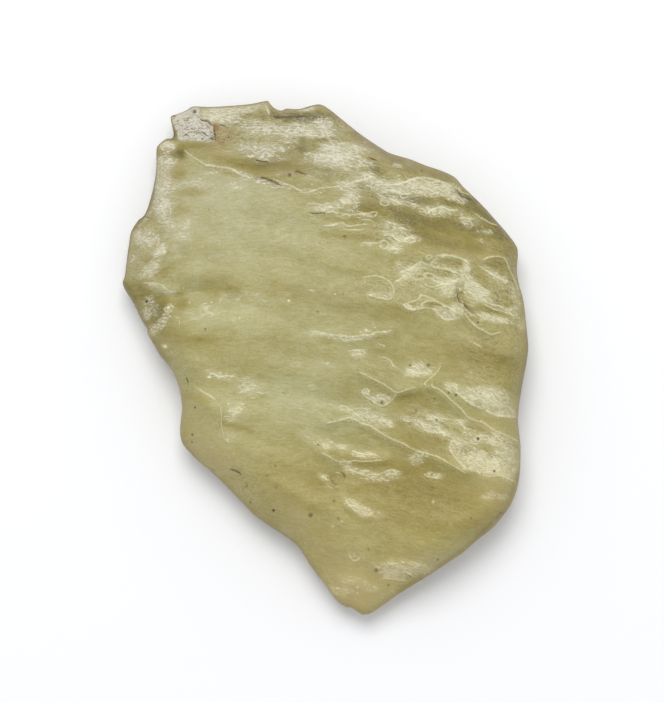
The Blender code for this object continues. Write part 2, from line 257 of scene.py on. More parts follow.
def noise_sum(x, y, u, v, layers):
    """Sum of noises. A layer is its strength, the length and the width of its lumps in millimetres, its
    seed, its number of octaves, and whether it follows the wind."""
    total = np.zeros(x.shape)
    for strength, length, width, seed, octaves, with_wind in layers:
        a, b = (u, v) if with_wind else (x, y)
        total += strength * clouds(a / length, b / width, seed, octaves)
    return total


upper_u, upper_v = streamlines(upper_x, upper_y)
lower_u, lower_v = streamlines(lower_x, lower_y)
print("noise", extent(clouds(upper_u, upper_v, seed=1), 2))

# %% [markdown]
# ## The upper face
#
# Underneath everything is a broad tilted crown. Crests, channels and hollows are added to it, each as a
# bell-shaped rise or dip beside a line or in an oval, and the flat broken faces then cut it off.

# %% The crown and what the wind left on it
CROWN_HEIGHT = 14.2
CROWN_DROP = 3.0
HALF_SLAB = (30.0, 38.0)
CROWN_TILT = (0.030, -0.022)

# Height and half width in millimetres, then the line in pixels.
CRESTS = {
    "upper crest of the main face": (0.45, 0.9, (
        (178, 150), (190, 155), (205, 165), (213, 167), (235, 170), (243, 176), (272, 184), (303, 194),
        (325, 199))),
    "channel above it": (-0.80, 1.7, ((179, 144), (215, 151), (250, 164), (290, 175), (323, 184))),
    "groove inside the end": (-1.00, 0.8, ((272, 115), (283, 117), (300, 117), (318, 117), (346, 129))),
    "frosted band": (0.40, 2.4, ((253, 139), (300, 141), (340, 156), (360, 176), (350, 203))),
    "long hollow": (-0.70, 2.2, ((350, 209), (385, 211), (415, 221), (450, 225), (480, 236))),
    "frosted tongue": (0.50, 1.7, ((380, 185), (415, 183), (440, 187), (456, 198))),
    "cleft in the rim": (-0.90, 0.7, ((456, 185), (461, 195), (472, 199))),
    "low swell": (0.35, 1.2, ((425, 215), (450, 213), (472, 221))),
    "crest along the right rim": (0.50, 0.8, ((484, 261), (495, 257), (503, 260), (509, 272), (515, 285))),
    "curved cut": (-0.75, 0.6, ((458, 289), (456, 298), (461, 306), (472, 320))),
    "lip of the cut": (0.35, 0.6, ((463, 313), (470, 323), (478, 328), (489, 334))),
    "middle crest": (0.40, 0.8, ((360, 372), (380, 382), (396, 392), (416, 385), (432, 386))),
    "right crest": (0.50, 0.9, ((432, 386), (450, 400), (466, 416), (480, 421), (490, 429), (516, 441))),
    "long crest": (0.50, 0.9, (
        (323, 422), (350, 416), (368, 424), (388, 436), (410, 447), (432, 455), (452, 463), (465, 470))),
    "lower crest": (0.40, 0.8, ((318, 450), (338, 458), (350, 458), (386, 458))),
    "faint crest": (0.30, 0.8, ((320, 332), (346, 336), (370, 335), (392, 330))),
    "left shoulder": (0.40, 1.2, ((182, 153), (180, 183), (177, 207), (171, 221))),
    "slanting rib": (0.65, 1.0, ((142, 277), (155, 265), (166, 251))),
    "hollow beside the rib": (-0.50, 1.1, ((157, 275), (171, 263), (181, 253))),
    "left crest": (0.45, 0.6, ((143, 283), (160, 284), (170, 291), (180, 291))),
    "hollow below the left crest": (-0.60, 1.4, ((149, 295), (170, 299), (190, 294), (223, 288))),
    "lower left rib": (0.55, 0.9, ((154, 334), (163, 325), (170, 314), (171, 305))),
    "pocket behind it": (-0.50, 0.9, ((149, 323), (157, 312), (162, 301))),
    "lower left roll": (0.45, 1.2, ((193, 444), (213, 457), (232, 475), (244, 495))),
    "streak crests": (0.22, 0.7, ((333, 191), (350, 187), (366, 181))),
    "upper streak": (0.25, 0.7, ((325, 212), (345, 211), (362, 216), (378, 218))),
    "arch": (0.28, 0.6, ((423, 259), (433, 256), (452, 257), (463, 261), (467, 272), (466, 285))),
    "loop under the arch": (0.25, 0.6, (
        (398, 305), (409, 311), (420, 307), (430, 301), (445, 307), (461, 317))),
    "tip streak": (0.30, 0.8, ((380, 567), (394, 560), (412, 564), (428, 571))),
}

# Middle, half length and half width in pixels, fall to the right in degrees, height in millimetres.
SWELLS = {
    "thin end of the tip": (360, 607, 80, 67, -20, -4.0),
    "thin blunt end": (227, 127, 93, 40, 0, -1.2),
    "left lobe": (145, 238, 20, 16, -60, 0.45),
    "lower right hollow": (413, 480, 80, 30, 14, -0.80),
    "middle hollow": (440, 350, 73, 27, 8, -0.50),
    "pale rise": (480, 460, 37, 23, 20, 0.60),
    "upper pale rise": (475, 397, 33, 14, 24, 0.50),
    "tip rise": (398, 568, 30, 12, 6, 0.40),
    "main face swell": (253, 220, 67, 33, 6, 0.40),
    "main face rise": (240, 330, 73, 27, -3, 0.40),
    "left foot rise": (230, 410, 30, 20, 10, 0.35),
    "great dimple": (448, 269, 21, 11, 14, -0.60),
    "rim dimple": (489, 273, 17, 10, 38, -0.50),
    "long dimple": (488, 311, 24, 7, 14, -0.50),
    "small round dimple": (497, 302, 7, 5, 0, -0.30),
    "ring dimple": (337, 476, 8, 7, 0, -0.55),
    "shell chip": (236, 483, 15, 10, 42, -0.55),
    "leaf": (356, 504, 15, 6, 38, 0.35),
    "leaf's hollow": (350, 513, 14, 5, 38, -0.30),
    "small ring": (354, 554, 6, 5, 0, -0.25),
    "tooth hollow": (262, 110, 10, 6, 10, -0.40),
    "foot of the knot": (405, 400, 14, 7, 10, -0.30),
    "upper ring": (384, 204, 5, 3, 0, -0.25),
}


def beside_lines(x, y, table):
    """Sum of the rises beside lines. Each one is a bell curve of the distance over the half width."""
    total = np.zeros(x.shape)
    for rise, half_width, points in table.values():
        line = on_slab(points)
        near = close_to(x, y, line, BELL_REACH * half_width)
        distance, _ = along_line(x[near], y[near], line)
        total[near] += rise * np.exp(-((distance / half_width) ** 2))
    return total


def in_ovals(x, y, table):
    """Sum of the rises in ovals, each a bell curve along both axes."""
    total = np.zeros(x.shape)
    for px, py, half_length, half_width, slope, rise in table.values():
        (middle_x, middle_y), = on_slab((px, py))
        sizes = half_length * PIXEL_MM, half_width * PIXEL_MM
        total += rise * np.exp(-in_oval(x, y, middle_x, middle_y, *sizes, slope))
    return total


def crown(x, y):
    """The broad upper face: a tilted dome that falls as the square of the distance from the middle."""
    dome = CROWN_HEIGHT + CROWN_TILT[0] * x + CROWN_TILT[1] * y
    dome -= CROWN_DROP * ((x / HALF_SLAB[0]) ** 2 + (y / HALF_SLAB[1]) ** 2)
    return dome + beside_lines(x, y, CRESTS) + in_ovals(x, y, SWELLS)


print("crown", extent(crown(upper_x, upper_y)), "mm")

# %% [markdown]
# Four long waves run across the whole slab. Finer flutes lie on top of them. The sand has kept the pale
# middle of the left side smooth, so the flutes are faint there and grow towards the right and the top.

# %% Waves and flutes
# Wavelength in millimetres, direction and phase in degrees, height in millimetres.
WAVES = ((11.0, 78, 20, 0.16), (6.3, 84, 140, 0.11), (4.4, 70, 250, 0.07), (8.7, 12, 60, 0.09))

# Long flutes, short flutes and scallops, as layers of noise with heights in millimetres.
FLUTES = ((0.08, 7.0, 1.9, 11, 2, True), (0.045, 2.4, 0.9, 12, 2, True), (0.025, 1.3, 0.8, 13, 2, True))

# Middle, half length and half width in millimetres, and the fall to the right in degrees.
SMOOTH_MIDDLE = (-15.0, 6.0, 17.0, 26.0, 8)
SMOOTHED_AWAY = 0.7


def waves(x, y):
    """Sum of the heights times the cosine of the phase plus a full turn for each wavelength travelled."""
    total = np.zeros(x.shape)
    for wavelength, direction, phase, rise in WAVES:
        angle = np.radians(direction)
        travel = (x * np.cos(angle) + y * np.sin(angle)) / wavelength
        total += rise * np.cos(2 * np.pi * travel + np.radians(phase))
    return total


def flutes(x, y, u, v):
    """Noise stretched along the wind, fainter in the smooth middle by a bell curve."""
    rough = 1 - SMOOTHED_AWAY * np.exp(-in_oval(x, y, *SMOOTH_MIDDLE))
    return noise_sum(x, y, u, v, FLUTES) * rough


print("flutes reach", round(np.abs(flutes(upper_x, upper_y, upper_u, upper_v)).max(), 2), "mm")

# %% [markdown]
# The blunt end and the left side broke off before the wind reached them, and their faces are still
# nearly flat. Each is a plane: wherever the crown stands above it, the plane takes over.

# %% Broken faces
# A spot on the plane in millimetres, and how much the plane rises per millimetre along x and y.
BROKEN_FACES = {
    "white face above the notch": (-16.5, 32.9, 8.6, 0.26, -0.24),
    "left side face": (-20.9, 26.0, 10.1, 0.42, -0.13),
    "sloping blunt end": (0.0, 36.5, 8.2, 0.0, -0.55),
    "face of the lower left edge": (-17.0, -14.0, 10.6, 0.40, 0.38),
}
FACE_SOFTNESS = 0.25
LEAST_WALL = 1.0
WIDEST_LINE, ROLL_WIDTH = 1, 2

# Degrees round from +x, the widest line's height, and the width over which the edge rolls over.
EDGE = (
    (0, 6.0, 3.4), (30, 5.6, 4.4), (60, 5.0, 6.0), (80, 4.9, 4.0), (95, 4.7, 3.0), (115, 4.4, 2.6),
    (130, 4.2, 2.4), (150, 4.3, 4.0), (165, 4.7, 5.0), (185, 5.0, 4.6), (215, 5.0, 4.4), (240, 4.4, 5.0),
    (262, 3.8, 7.5), (280, 3.6, 9.0), (300, 4.8, 5.0), (330, 5.8, 3.6),
)


def round_the_edge(x, y, column):
    """A value of the edge table for each point's direction, blended smoothly from row to row."""
    table = np.array(EDGE, float)
    degrees = np.degrees(np.arctan2(y, x)) % 360
    around, values = np.append(table[:, 0], 360), np.append(table[:, column], table[0, column])
    low = np.clip(np.searchsorted(around, degrees, side="right") - 1, 0, len(table) - 1)
    t = (degrees - around[low]) / (around[low + 1] - around[low])
    t = t * t * (3 - 2 * t)
    return values[low] * (1 - t) + values[low + 1] * t


def roll_over(inside, width):
    """Share of the full height at a distance inside the rim: a quarter of an ellipse, upright at the rim
    and level once the width is passed."""
    t = np.clip(inside / width, 0, 1)
    return np.sqrt(1 - (1 - t) ** 2)


def upper_height(x, y, u, v, inside):
    """Height of the upper sheet: the crown and the waves, cut by the broken faces, then fluted, then rolled
    over. The lower of two heights, softened where they meet, is half of what is left when the root of
    their squared difference plus the squared softness is taken from their sum."""
    widest = round_the_edge(x, y, WIDEST_LINE)
    full = crown(x, y) + waves(x, y)
    for at_x, at_y, at_z, rise_x, rise_y in BROKEN_FACES.values():
        plane = at_z + rise_x * (x - at_x) + rise_y * (y - at_y)
        full = 0.5 * (full + plane - np.sqrt((full - plane) ** 2 + FACE_SOFTNESS**2))
    full = np.maximum(full + flutes(x, y, u, v), widest + LEAST_WALL)
    return widest + (full - widest) * roll_over(inside, round_the_edge(x, y, ROLL_WIDTH))


upper_z = upper_height(upper_x, upper_y, upper_u, upper_v, upper_inside)
print("upper sheet", extent(upper_z, 2), "mm")

# %% [markdown]
# ## The underside
#
# The photograph doesn't show the underside. It is made as such slabs usually are: a worn flat spot in the
# middle that the slab rests on, a slow rise around it, and a few shallow hollows.

# %% The lower sheet
FLAT_SPOT_MIDDLE = (1.5, 0.5)
FLAT_SPOT_RADII = (10.0, 14.0)
UNDERSIDE_RISE = 0.060
UNDERSIDE_WIDTH = 10.0
UNDERSIDE_WEAR = 0.2
UNDERSIDE_FLUTES = 0.5
UNDERSIDE_WAVE_SHIFT = (7, 3)
GROUND_TOLERANCE = 1e-9

# How fast the wear and the width of the edge grow with the distance past the flat spot, the least share of
# that width, and the highest that the sheet may rise, as a share of the widest line's height.
WEAR_GROWTH = 3
TUCK_GROWTH = 2.5
LEAST_TUCK = 0.05
HIGHEST_SHARE = 0.6

# Middle, half length and half width in pixels, fall to the right in degrees, depth in millimetres.
UNDERSIDE_HOLLOWS = {
    "hollow under the right side": (447, 453, 53, 33, 30, 0.9),
    "hollow under the left side": (207, 280, 60, 30, -40, 0.8),
    "hollow under the tip": (347, 527, 47, 23, -60, 0.7),
    "hollow under the blunt end": (333, 183, 67, 23, 12, 0.8),
    "dimple under the rim": (467, 293, 23, 16, -20, 0.6),
}


def lower_height(x, y, u, v, inside):
    """Height of the lower sheet: zero on the flat spot, then rising with the distance past it, and near
    the rim curving up to the widest line. The distance past the spot is counted in its radii."""
    across = (x - FLAT_SPOT_MIDDLE[0]) / FLAT_SPOT_RADII[0]
    along = (y - FLAT_SPOT_MIDDLE[1]) / FLAT_SPOT_RADII[1]
    past = np.maximum(np.hypot(across, along) - 1, 0)
    shape = UNDERSIDE_WEAR + in_ovals(x, y, UNDERSIDE_HOLLOWS)
    shape = shape + waves(y + UNDERSIDE_WAVE_SHIFT[0], x - UNDERSIDE_WAVE_SHIFT[1])
    worn = np.minimum(past * WEAR_GROWTH, 1) * np.maximum(shape + UNDERSIDE_FLUTES * flutes(x, y, v, u), 0)
    widest = round_the_edge(x, y, WIDEST_LINE)
    tuck = 1 - roll_over(inside, UNDERSIDE_WIDTH * np.clip(past * TUCK_GROWTH, LEAST_TUCK, 1))
    low = np.clip(UNDERSIDE_RISE * past * FLAT_SPOT_RADII[1] + worn, 0, widest * HIGHEST_SHARE)
    return low * (1 - tuck) + widest * tuck


lower_z = lower_height(lower_x, lower_y, lower_u, lower_v, lower_inside)
resting = int((lower_z < GROUND_TOLERANCE).sum())
print("lower sheet", extent(lower_z, 2), "mm;", resting, "of its points rest on the ground")

# %% [markdown]
# ## Pale crest lines and dark cracks
#
# Thin pale lines run along the crests, where the sharp edge has gone to powder, and part of their
# brightness is painted highlight, where the crests catch the light. A few dark cracks cross the broken
# faces, and a few dark lines under crests and in a hollow are painted shade. They are thinner than the
# mesh's cells, so they can't be painted on its points.
# Instead each point holds its signed distance to the line, which the material turns into a crisp line
# between the points. Lines that come close to each other go to different channels.

# %% Pale crest lines
def ring(px, py, radius_x, radius_y, slope=0):
    """A closed oval as a line in pixels, falling to the right by this slope in degrees."""
    angles, turn = np.linspace(0, 2 * np.pi, 11), np.radians(slope)
    along, across = radius_x * np.cos(angles), radius_y * np.sin(angles)
    return tuple(zip(px + along * np.cos(turn) - across * np.sin(turn),
                     py + along * np.sin(turn) + across * np.cos(turn)))


# Half width in millimetres, the side with a frosted margin (1 left of the way the line goes, -1 right, 0
# none), then the line in pixels.
# The pale lines are partly painted highlight where the crests catch the light.
PALE_LINES = {
    # The crest of the main face, and the left side.
    "main crest": (0.17, 0, (
        (185, 151), (192, 156.5), (200, 162), (206, 165.5), (213, 167), (222, 168.5), (231, 170), (237, 173),
        (243, 177), (252, 178.5))),
    "end of the main crest": (0.15, 0, (
        (272, 180), (281, 184), (290, 187), (298, 191), (304, 194.5), (311, 193.5), (320, 190), (334, 189),
        (343, 188))),
    "left crest": (0.17, -1, (
        (143, 283), (150, 283.5), (158, 284), (164, 286), (168, 290), (173, 292), (181, 291.5))),
    "curl on the left rim": (0.18, 0, ((128, 263), (132, 262), (135, 258.5), (134, 255.5), (131, 256))),
    "upright dash": (0.13, 0, ((181, 319), (181.5, 328))),
    "left foot line": (0.18, 1, ((197, 386), (204, 391), (211, 395), (219, 400))),
    "left streak": (0.15, 0, ((207, 372), (214, 373), (220, 376), (230, 375.5), (240, 377))),
    "edge of the left foot": (0.09, 0, ((222, 403), (223, 414), (223, 425), (226, 437))),
    "white edge of the tooth": (0.30, 0, ((264.5, 105), (267, 109), (269, 114), (270.5, 118))),
    "shoulder curve": (0.14, 0, ((160, 203), (163, 208), (162, 214))),
    "second shoulder curve": (0.14, 0, ((168, 205), (172, 211), (171, 219))),
    # The upper right.
    "top of the tongue": (0.20, -1, (
        (380, 186.5), (392, 187), (402, 185), (409, 182), (417, 179.3), (426, 179.5), (436, 181.5),
        (446, 185), (453, 189))),
    "underside of the tongue": (0.20, 1, ((384, 191.5), (394, 193), (403, 196), (412, 195.5))),
    "rim crest": (0.16, 0, ((453, 187), (458, 190.5), (463, 193.5), (468, 195), (472, 197.5))),
    "second rim crest": (0.13, 0, ((455, 192), (458, 196), (464, 199))),
    "upper streak": (0.18, -1, ((346, 187), (352, 184.5), (361, 182.5), (368, 180.5), (375, 177))),
    "ring under the tongue": (0.15, 0, ring(384, 204.5, 4.2, 2.6, 8)),
    "bright streak": (0.26, 0, ((389, 200), (395, 203.5), (402, 207))),
    "faint streak": (0.20, 0, ((404, 203), (412, 205.5), (421, 209))),
    "small upper patch": (0.17, -1, (
        (424, 218), (428, 213), (434, 210), (441, 208.5), (449, 211.5), (456, 212))),
    "streak by the rim": (0.18, 0, ((471, 213), (480, 219), (490, 224), (498, 227))),
    "curls beside the tongue": (0.13, 0, ring(374, 189, 4.0, 3.0, 30)),
    "second curl": (0.12, 0, ring(379, 184.5, 2.6, 2.0)),
    "third curl": (0.12, 0, ring(367, 178.5, 3.0, 1.8, -20)),
    "band streak": (0.16, -1, ((455, 221), (463, 219), (468, 222), (471, 227), (466, 230))),
    # Fine level streaks left of the band.
    "first level streak": (0.16, 0, (
        (318, 213), (330, 213.5), (340, 214.5), (348, 216.5), (358, 216), (367, 215), (376, 213.5),
        (375, 217), (371, 219.5))),
    "second level streak": (0.16, 0, (
        (320, 227.5), (332, 227), (338, 224.5), (343, 225), (348, 228), (356, 227), (363, 226),
        (369, 226.5))),
    "third level streak": (0.14, 0, ((340, 231), (352, 231.5), (361, 231.5), (366, 229))),
    "fourth level streak": (0.14, 0, ((304, 205), (318, 206), (330, 209), (345, 210))),
    "fifth level streak": (0.13, 0, ((356, 222), (366, 221.5), (374, 222.5))),
    "hooked streak": (0.17, 0, ((359, 248), (363, 244.5), (370, 244.5), (377, 244.5), (380, 241.5))),
    "ring of the hook": (0.14, 0, ring(383.5, 246, 4.2, 4.0)),
    "arc under the hook": (0.20, 1, ((388, 249), (394, 250.5), (402, 250))),
    "upper arc of the cluster": (0.20, -1, ((384, 222), (391, 225), (397, 226))),
    "middle arc of the cluster": (0.20, -1, ((394, 229), (400, 229), (405, 231), (409, 231.5))),
    "lower arc of the cluster": (0.18, 1, (
        (381, 237), (387, 236), (392, 237), (395, 241), (402, 243), (408, 243))),
    "eye of the cluster": (0.17, 0, ring(409, 241.5, 5.5, 2.6, 5)),
    # The knot of loops at the right middle.
    "curl at the arch": (0.13, 0, ring(427.8, 258.3, 2.8, 2.0)),
    "arch": (0.24, -1, (
        (430, 257.5), (437, 256.8), (444, 256.4), (451, 257.2), (458, 259), (463, 261.5), (466.5, 265))),
    "under the arch": (0.18, 1, (
        (436, 258), (432, 262), (429.5, 266), (434, 268.5), (441, 269.5), (447, 271), (453, 273),
        (459, 275))),
    "first vein": (0.20, -1, (
        (396, 275), (403, 272), (409, 270.5), (414, 266.5), (418.5, 263), (424, 265), (430, 266))),
    "second vein": (0.18, 0, (
        (408, 272), (408, 276), (413, 279.5), (419, 280), (424, 278.5), (422, 275.5), (426, 274), (431, 275),
        (435, 278), (441, 280.5), (448, 282), (455, 281), (459, 277.5))),
    "small vein ring": (0.12, 0, ring(417.3, 273, 3.2, 2.2, 10)),
    "second vein ring": (0.13, 0, ring(428.5, 277, 4.4, 2.6, 6)),
    "third vein": (0.16, 0, (
        (425, 281.5), (424, 285.5), (430, 287.5), (437, 286.5), (445, 284.5), (452, 285))),
    "fourth vein": (0.15, 0, ((432, 290.5), (439, 288.5), (447, 287.5))),
    "left margin of the knot": (0.17, -1, ((392, 284), (398, 280.5), (404, 276.5), (409, 274))),
    "arc of the loose grains": (0.14, 0, (
        (361, 279), (368, 277.5), (376, 277), (384, 279.5), (390, 284), (393, 291), (391, 298))),
    "lower edge of the loose grains": (0.15, 1, (
        (364, 294.5), (372, 296.5), (380, 299), (388, 300), (394, 297))),
    "outer loop": (0.20, 1, (
        (399, 303.5), (403, 306), (406, 309), (412, 310.5), (418, 309.3), (424, 308.5), (431, 309.5),
        (436, 313), (440, 317.5), (447, 319.8), (454, 319), (461, 318))),
    "inner loop": (0.18, 0, (
        (418, 309), (420.5, 304.5), (425, 302), (431, 301.5), (437, 303), (443, 306), (449, 309),
        (456, 313))),
    "top of the inner loop": (0.17, 0, (
        (404, 303.5), (412, 302), (418, 299), (419, 295.5), (425, 297), (431, 299.5), (437, 302))),
    "lip of the cut": (0.19, 0, (
        (461.5, 311.5), (466, 318), (471, 323.5), (476, 328), (483, 331.5), (489, 334.5), (495, 333),
        (501, 331))),
    "pale side of the cut": (0.16, 0, ((459, 294.5), (459.5, 299), (462, 303))),
    "over the dark lens": (0.16, 0, (
        (480, 304), (487, 307), (493, 310), (500, 311.5), (511, 316), (511.5, 320))),
    "arc by the rim": (0.17, 0, (
        (479, 262), (485, 259), (492, 257.5), (500, 258), (504, 261), (507, 268), (511, 276), (515, 285),
        (519, 293))),
    "band beside the arc": (0.16, 1, ((476, 266), (484, 271), (492, 276), (500, 280), (508, 284))),
    "stroke under the cut": (0.20, 0, ((469, 342), (474, 344), (481, 348))),
    # Across the middle.
    "faint crest": (0.18, -1, (
        (310, 331), (320, 332.5), (330, 334.5), (342, 336), (354, 336.5), (363, 335), (370, 335),
        (375, 332.5), (383, 332), (393, 330))),
    "over the faint crest": (0.12, 0, ((361, 331), (365, 330.5), (370, 331.5))),
    "top of the small patch": (0.16, -1, ((348, 351), (356, 350), (367.5, 349.5))),
    "small loop": (0.13, 0, ((376, 341), (379, 344.5), (384, 346), (381, 350))),
    "second faint crest": (0.17, 0, ((378, 357), (385, 357.5), (390, 361), (392, 365), (398, 368))),
    "knot's left arm": (0.17, 0, ((423.5, 366), (427, 369), (430, 372), (430.5, 376))),
    "knot's right arm": (0.17, 0, (
        (439.5, 363), (438, 368), (434, 373), (430, 377), (426, 380), (423, 383), (426, 386))),
    "knot's cross": (0.12, 0, ((428, 367), (432, 367.3), (436.5, 366.5))),
    "middle crest": (0.17, 0, (
        (356, 371), (362, 373), (368, 376), (375, 379.5), (382, 383), (388, 387), (392, 390), (396, 391.5),
        (400, 391), (405, 389), (411, 387.3), (418, 386))),
    "branch of the middle crest": (0.16, 0, ((397, 392), (393.5, 396), (391, 400.5))),
    "loop under the middle crest": (0.17, 1, (
        (361, 388), (362, 393), (366, 396.5), (371, 399.5), (377, 403.5), (382, 405), (387, 402.5),
        (391, 398.5))),
    "ring in the loop": (0.14, 0, ring(365.5, 390.5, 3.2, 2.4)),
    "small arc": (0.15, 0, ((430, 400), (433, 402.5), (437, 401))),
    # The lower right.
    "right crest": (0.19, 0, (
        (431, 380), (431, 386), (438, 389), (444, 394), (450, 400), (456, 405), (461, 410), (466, 416),
        (472, 419), (480, 421), (485, 424), (490, 428), (497, 431), (505, 434.5), (512, 438), (519, 441.5))),
    "upper frost's tail": (0.26, 1, ((482, 408), (489, 412), (496, 414.5), (506, 415.5), (517, 417))),
    "lower edge of the upper frost": (0.16, 1, ((453, 391), (460, 396), (467, 402), (475, 406))),
    "field's top": (0.15, 0, ((436, 415), (444, 418), (453, 417.5))),
    "edge of the mottled field": (0.18, -1, ((453, 417.5), (458, 421), (461, 425), (467, 428), (477, 430))),
    "lower edge of the field": (0.18, 1, (
        (414, 417), (419, 421.5), (424, 428), (431, 431.5), (440, 431), (446, 434), (452, 436.5))),
    "arc left of the field": (0.15, 1, ((400, 415), (404, 419.5), (409, 420), (412, 417))),
    "left edge of the wide frost": (0.18, 1, (
        (452, 437), (449, 442), (448, 448), (453, 455), (459, 462), (466, 468))),
    "long crest": (0.19, 0, (
        (323, 422.5), (335, 420), (343, 418), (350, 416.5), (356, 419), (363, 422.5), (369, 424.5),
        (375, 428), (381, 432), (388, 436), (395, 439), (402, 442), (409, 446), (415, 449), (422, 451),
        (430, 453), (438, 456), (445, 460), (452, 464), (458, 468), (466, 472))),
    "over the long crest": (0.16, -1, ((336, 407), (344, 405), (351, 409), (357, 414), (362, 417))),
    "right end of the scales": (0.16, 1, ((376, 421), (383, 419), (390, 421), (393, 426))),
    "foot of the wide frost": (0.16, 1, ((478, 473), (488, 474.5), (498, 474), (508, 478), (515, 482))),
    # The lower middle and the tip.
    "lower crest": (0.17, 0, (
        (319, 451), (326, 453), (332, 456.5), (338, 459.5), (345, 460), (353, 459), (363, 459.5), (374, 459),
        (384, 458))),
    "upper edge of the lower frost": (0.16, -1, (
        (350, 448), (356, 450.5), (364, 453), (372, 452.5), (379, 455))),
    "lower frost": (0.17, 1, ((341, 466), (349, 468), (357, 471), (366, 474), (373, 478))),
    "end of the lower frost": (0.17, -1, ((377, 473), (383, 470.5), (390, 468), (396, 469.5), (401, 470))),
    "patch under the long crest": (0.16, 1, ((421, 471), (427, 475), (434, 476), (441, 475.5))),
    "leaf": (0.20, 1, ((344, 496), (349, 502.5), (354, 507.5), (360, 511.5), (366, 513.5), (373, 512))),
    "vein of the leaf": (0.16, 0, ((347, 495.5), (353, 501), (359, 506))),
    "blob by the ring": (0.26, 0, ((319, 472.5), (324, 475.5), (330, 480))),
    "bright arc of the ring": (0.16, 0, ((333, 471), (338, 470.8), (343, 474))),
    "small ring": (0.22, 0, ((348.5, 549), (350, 555), (354, 558.5), (358.5, 557), (361, 552))),
    "tip streak": (0.22, -1, ((384, 564), (391, 561.5), (398, 563), (406, 566.5), (414, 570))),
    "lower tip streak": (0.22, 1, ((381, 577), (390, 577), (399, 579), (409, 578.5))),
    "scratch by the tip": (0.13, 0, ((401, 568), (407, 571), (413, 575))),
}
MARGIN_WIDTH = 0.62
MARGIN_REACH = 2.5
LINE_REACH = 0.62
LINE_TAPER = 0.8
THINNEST_TAPER = 0.15
LINE_CHANNELS = 6
FAR_AWAY = 9.0


def smooth_step(t):
    """Zero below nought, one above one, and 3t squared less 2t cubed between."""
    t = np.clip(t, 0, 1)
    return t * t * (3 - 2 * t)


def line_channels(x, y, lines, channels):
    """The signed distance to a line, over its half width, for every point in each channel, and how deep
    the point is in a frosted margin. A line takes the channel where it shares the fewest points with
    others, the nearer one keeps a shared point, and it narrows towards its ends. Where there is no line,
    the distance is a number that no mark reaches."""
    distances = np.full((channels, x.size), FAR_AWAY)
    taken = np.zeros((channels, x.size), bool)
    margins = np.zeros(x.size)
    crowded = 0
    for half_width, side, points in lines.values():
        line = smooth_curve(on_slab(points), closed=False)
        is_ring = np.allclose(points[0], points[-1])
        length = np.hypot(*np.diff(line, axis=0).T).sum()
        near = close_to(x, y, line, MARGIN_REACH * MARGIN_WIDTH)
        signed, share = along_line(x[near], y[near], line)
        taper = 1.0 if is_ring else smooth_step(np.minimum(share, 1 - share) * length / LINE_TAPER)
        if side:
            margin = taper * np.exp(-((signed / MARGIN_WIDTH) ** 2)) * (signed * side > 0)
            margins[near] = np.maximum(margins[near], margin)
        over = np.clip(signed / (half_width * np.maximum(taper, THINNEST_TAPER)), -FAR_AWAY, FAR_AWAY)
        reached = np.abs(signed) < LINE_REACH
        near, over = near[reached], over[reached]
        clashes = taken[:, near].sum(axis=1)
        free = int(np.argmin(clashes))
        crowded += clashes[free] > 0
        closer = np.abs(over) < np.abs(distances[free, near])
        distances[free, near[closer]] = over[closer]
        taken[free, near] = True
    print("lines:", len(lines), "channels:", channels, "lines that share points:", crowded)
    return distances, margins


pale_distances, pale_margins = line_channels(upper_x, upper_y, PALE_LINES, LINE_CHANNELS)

# %% [markdown]
# The dark cracks are deep and thin. Three of the dark lines are painted shade instead: under the main
# crest, under the rim crest and in the hollow of the end. All are made in the same way, in a channel of
# their own, and have no frosted margin. They could be cut into the mesh, but nothing of that would show at
# their width. The pale lines do stand a little above the glass, as sharp crests do.

# %% Dark cracks
PALE_LINE_RELIEF = 0.04
PALE_LINE_RELIEF_WIDTH = 1.9

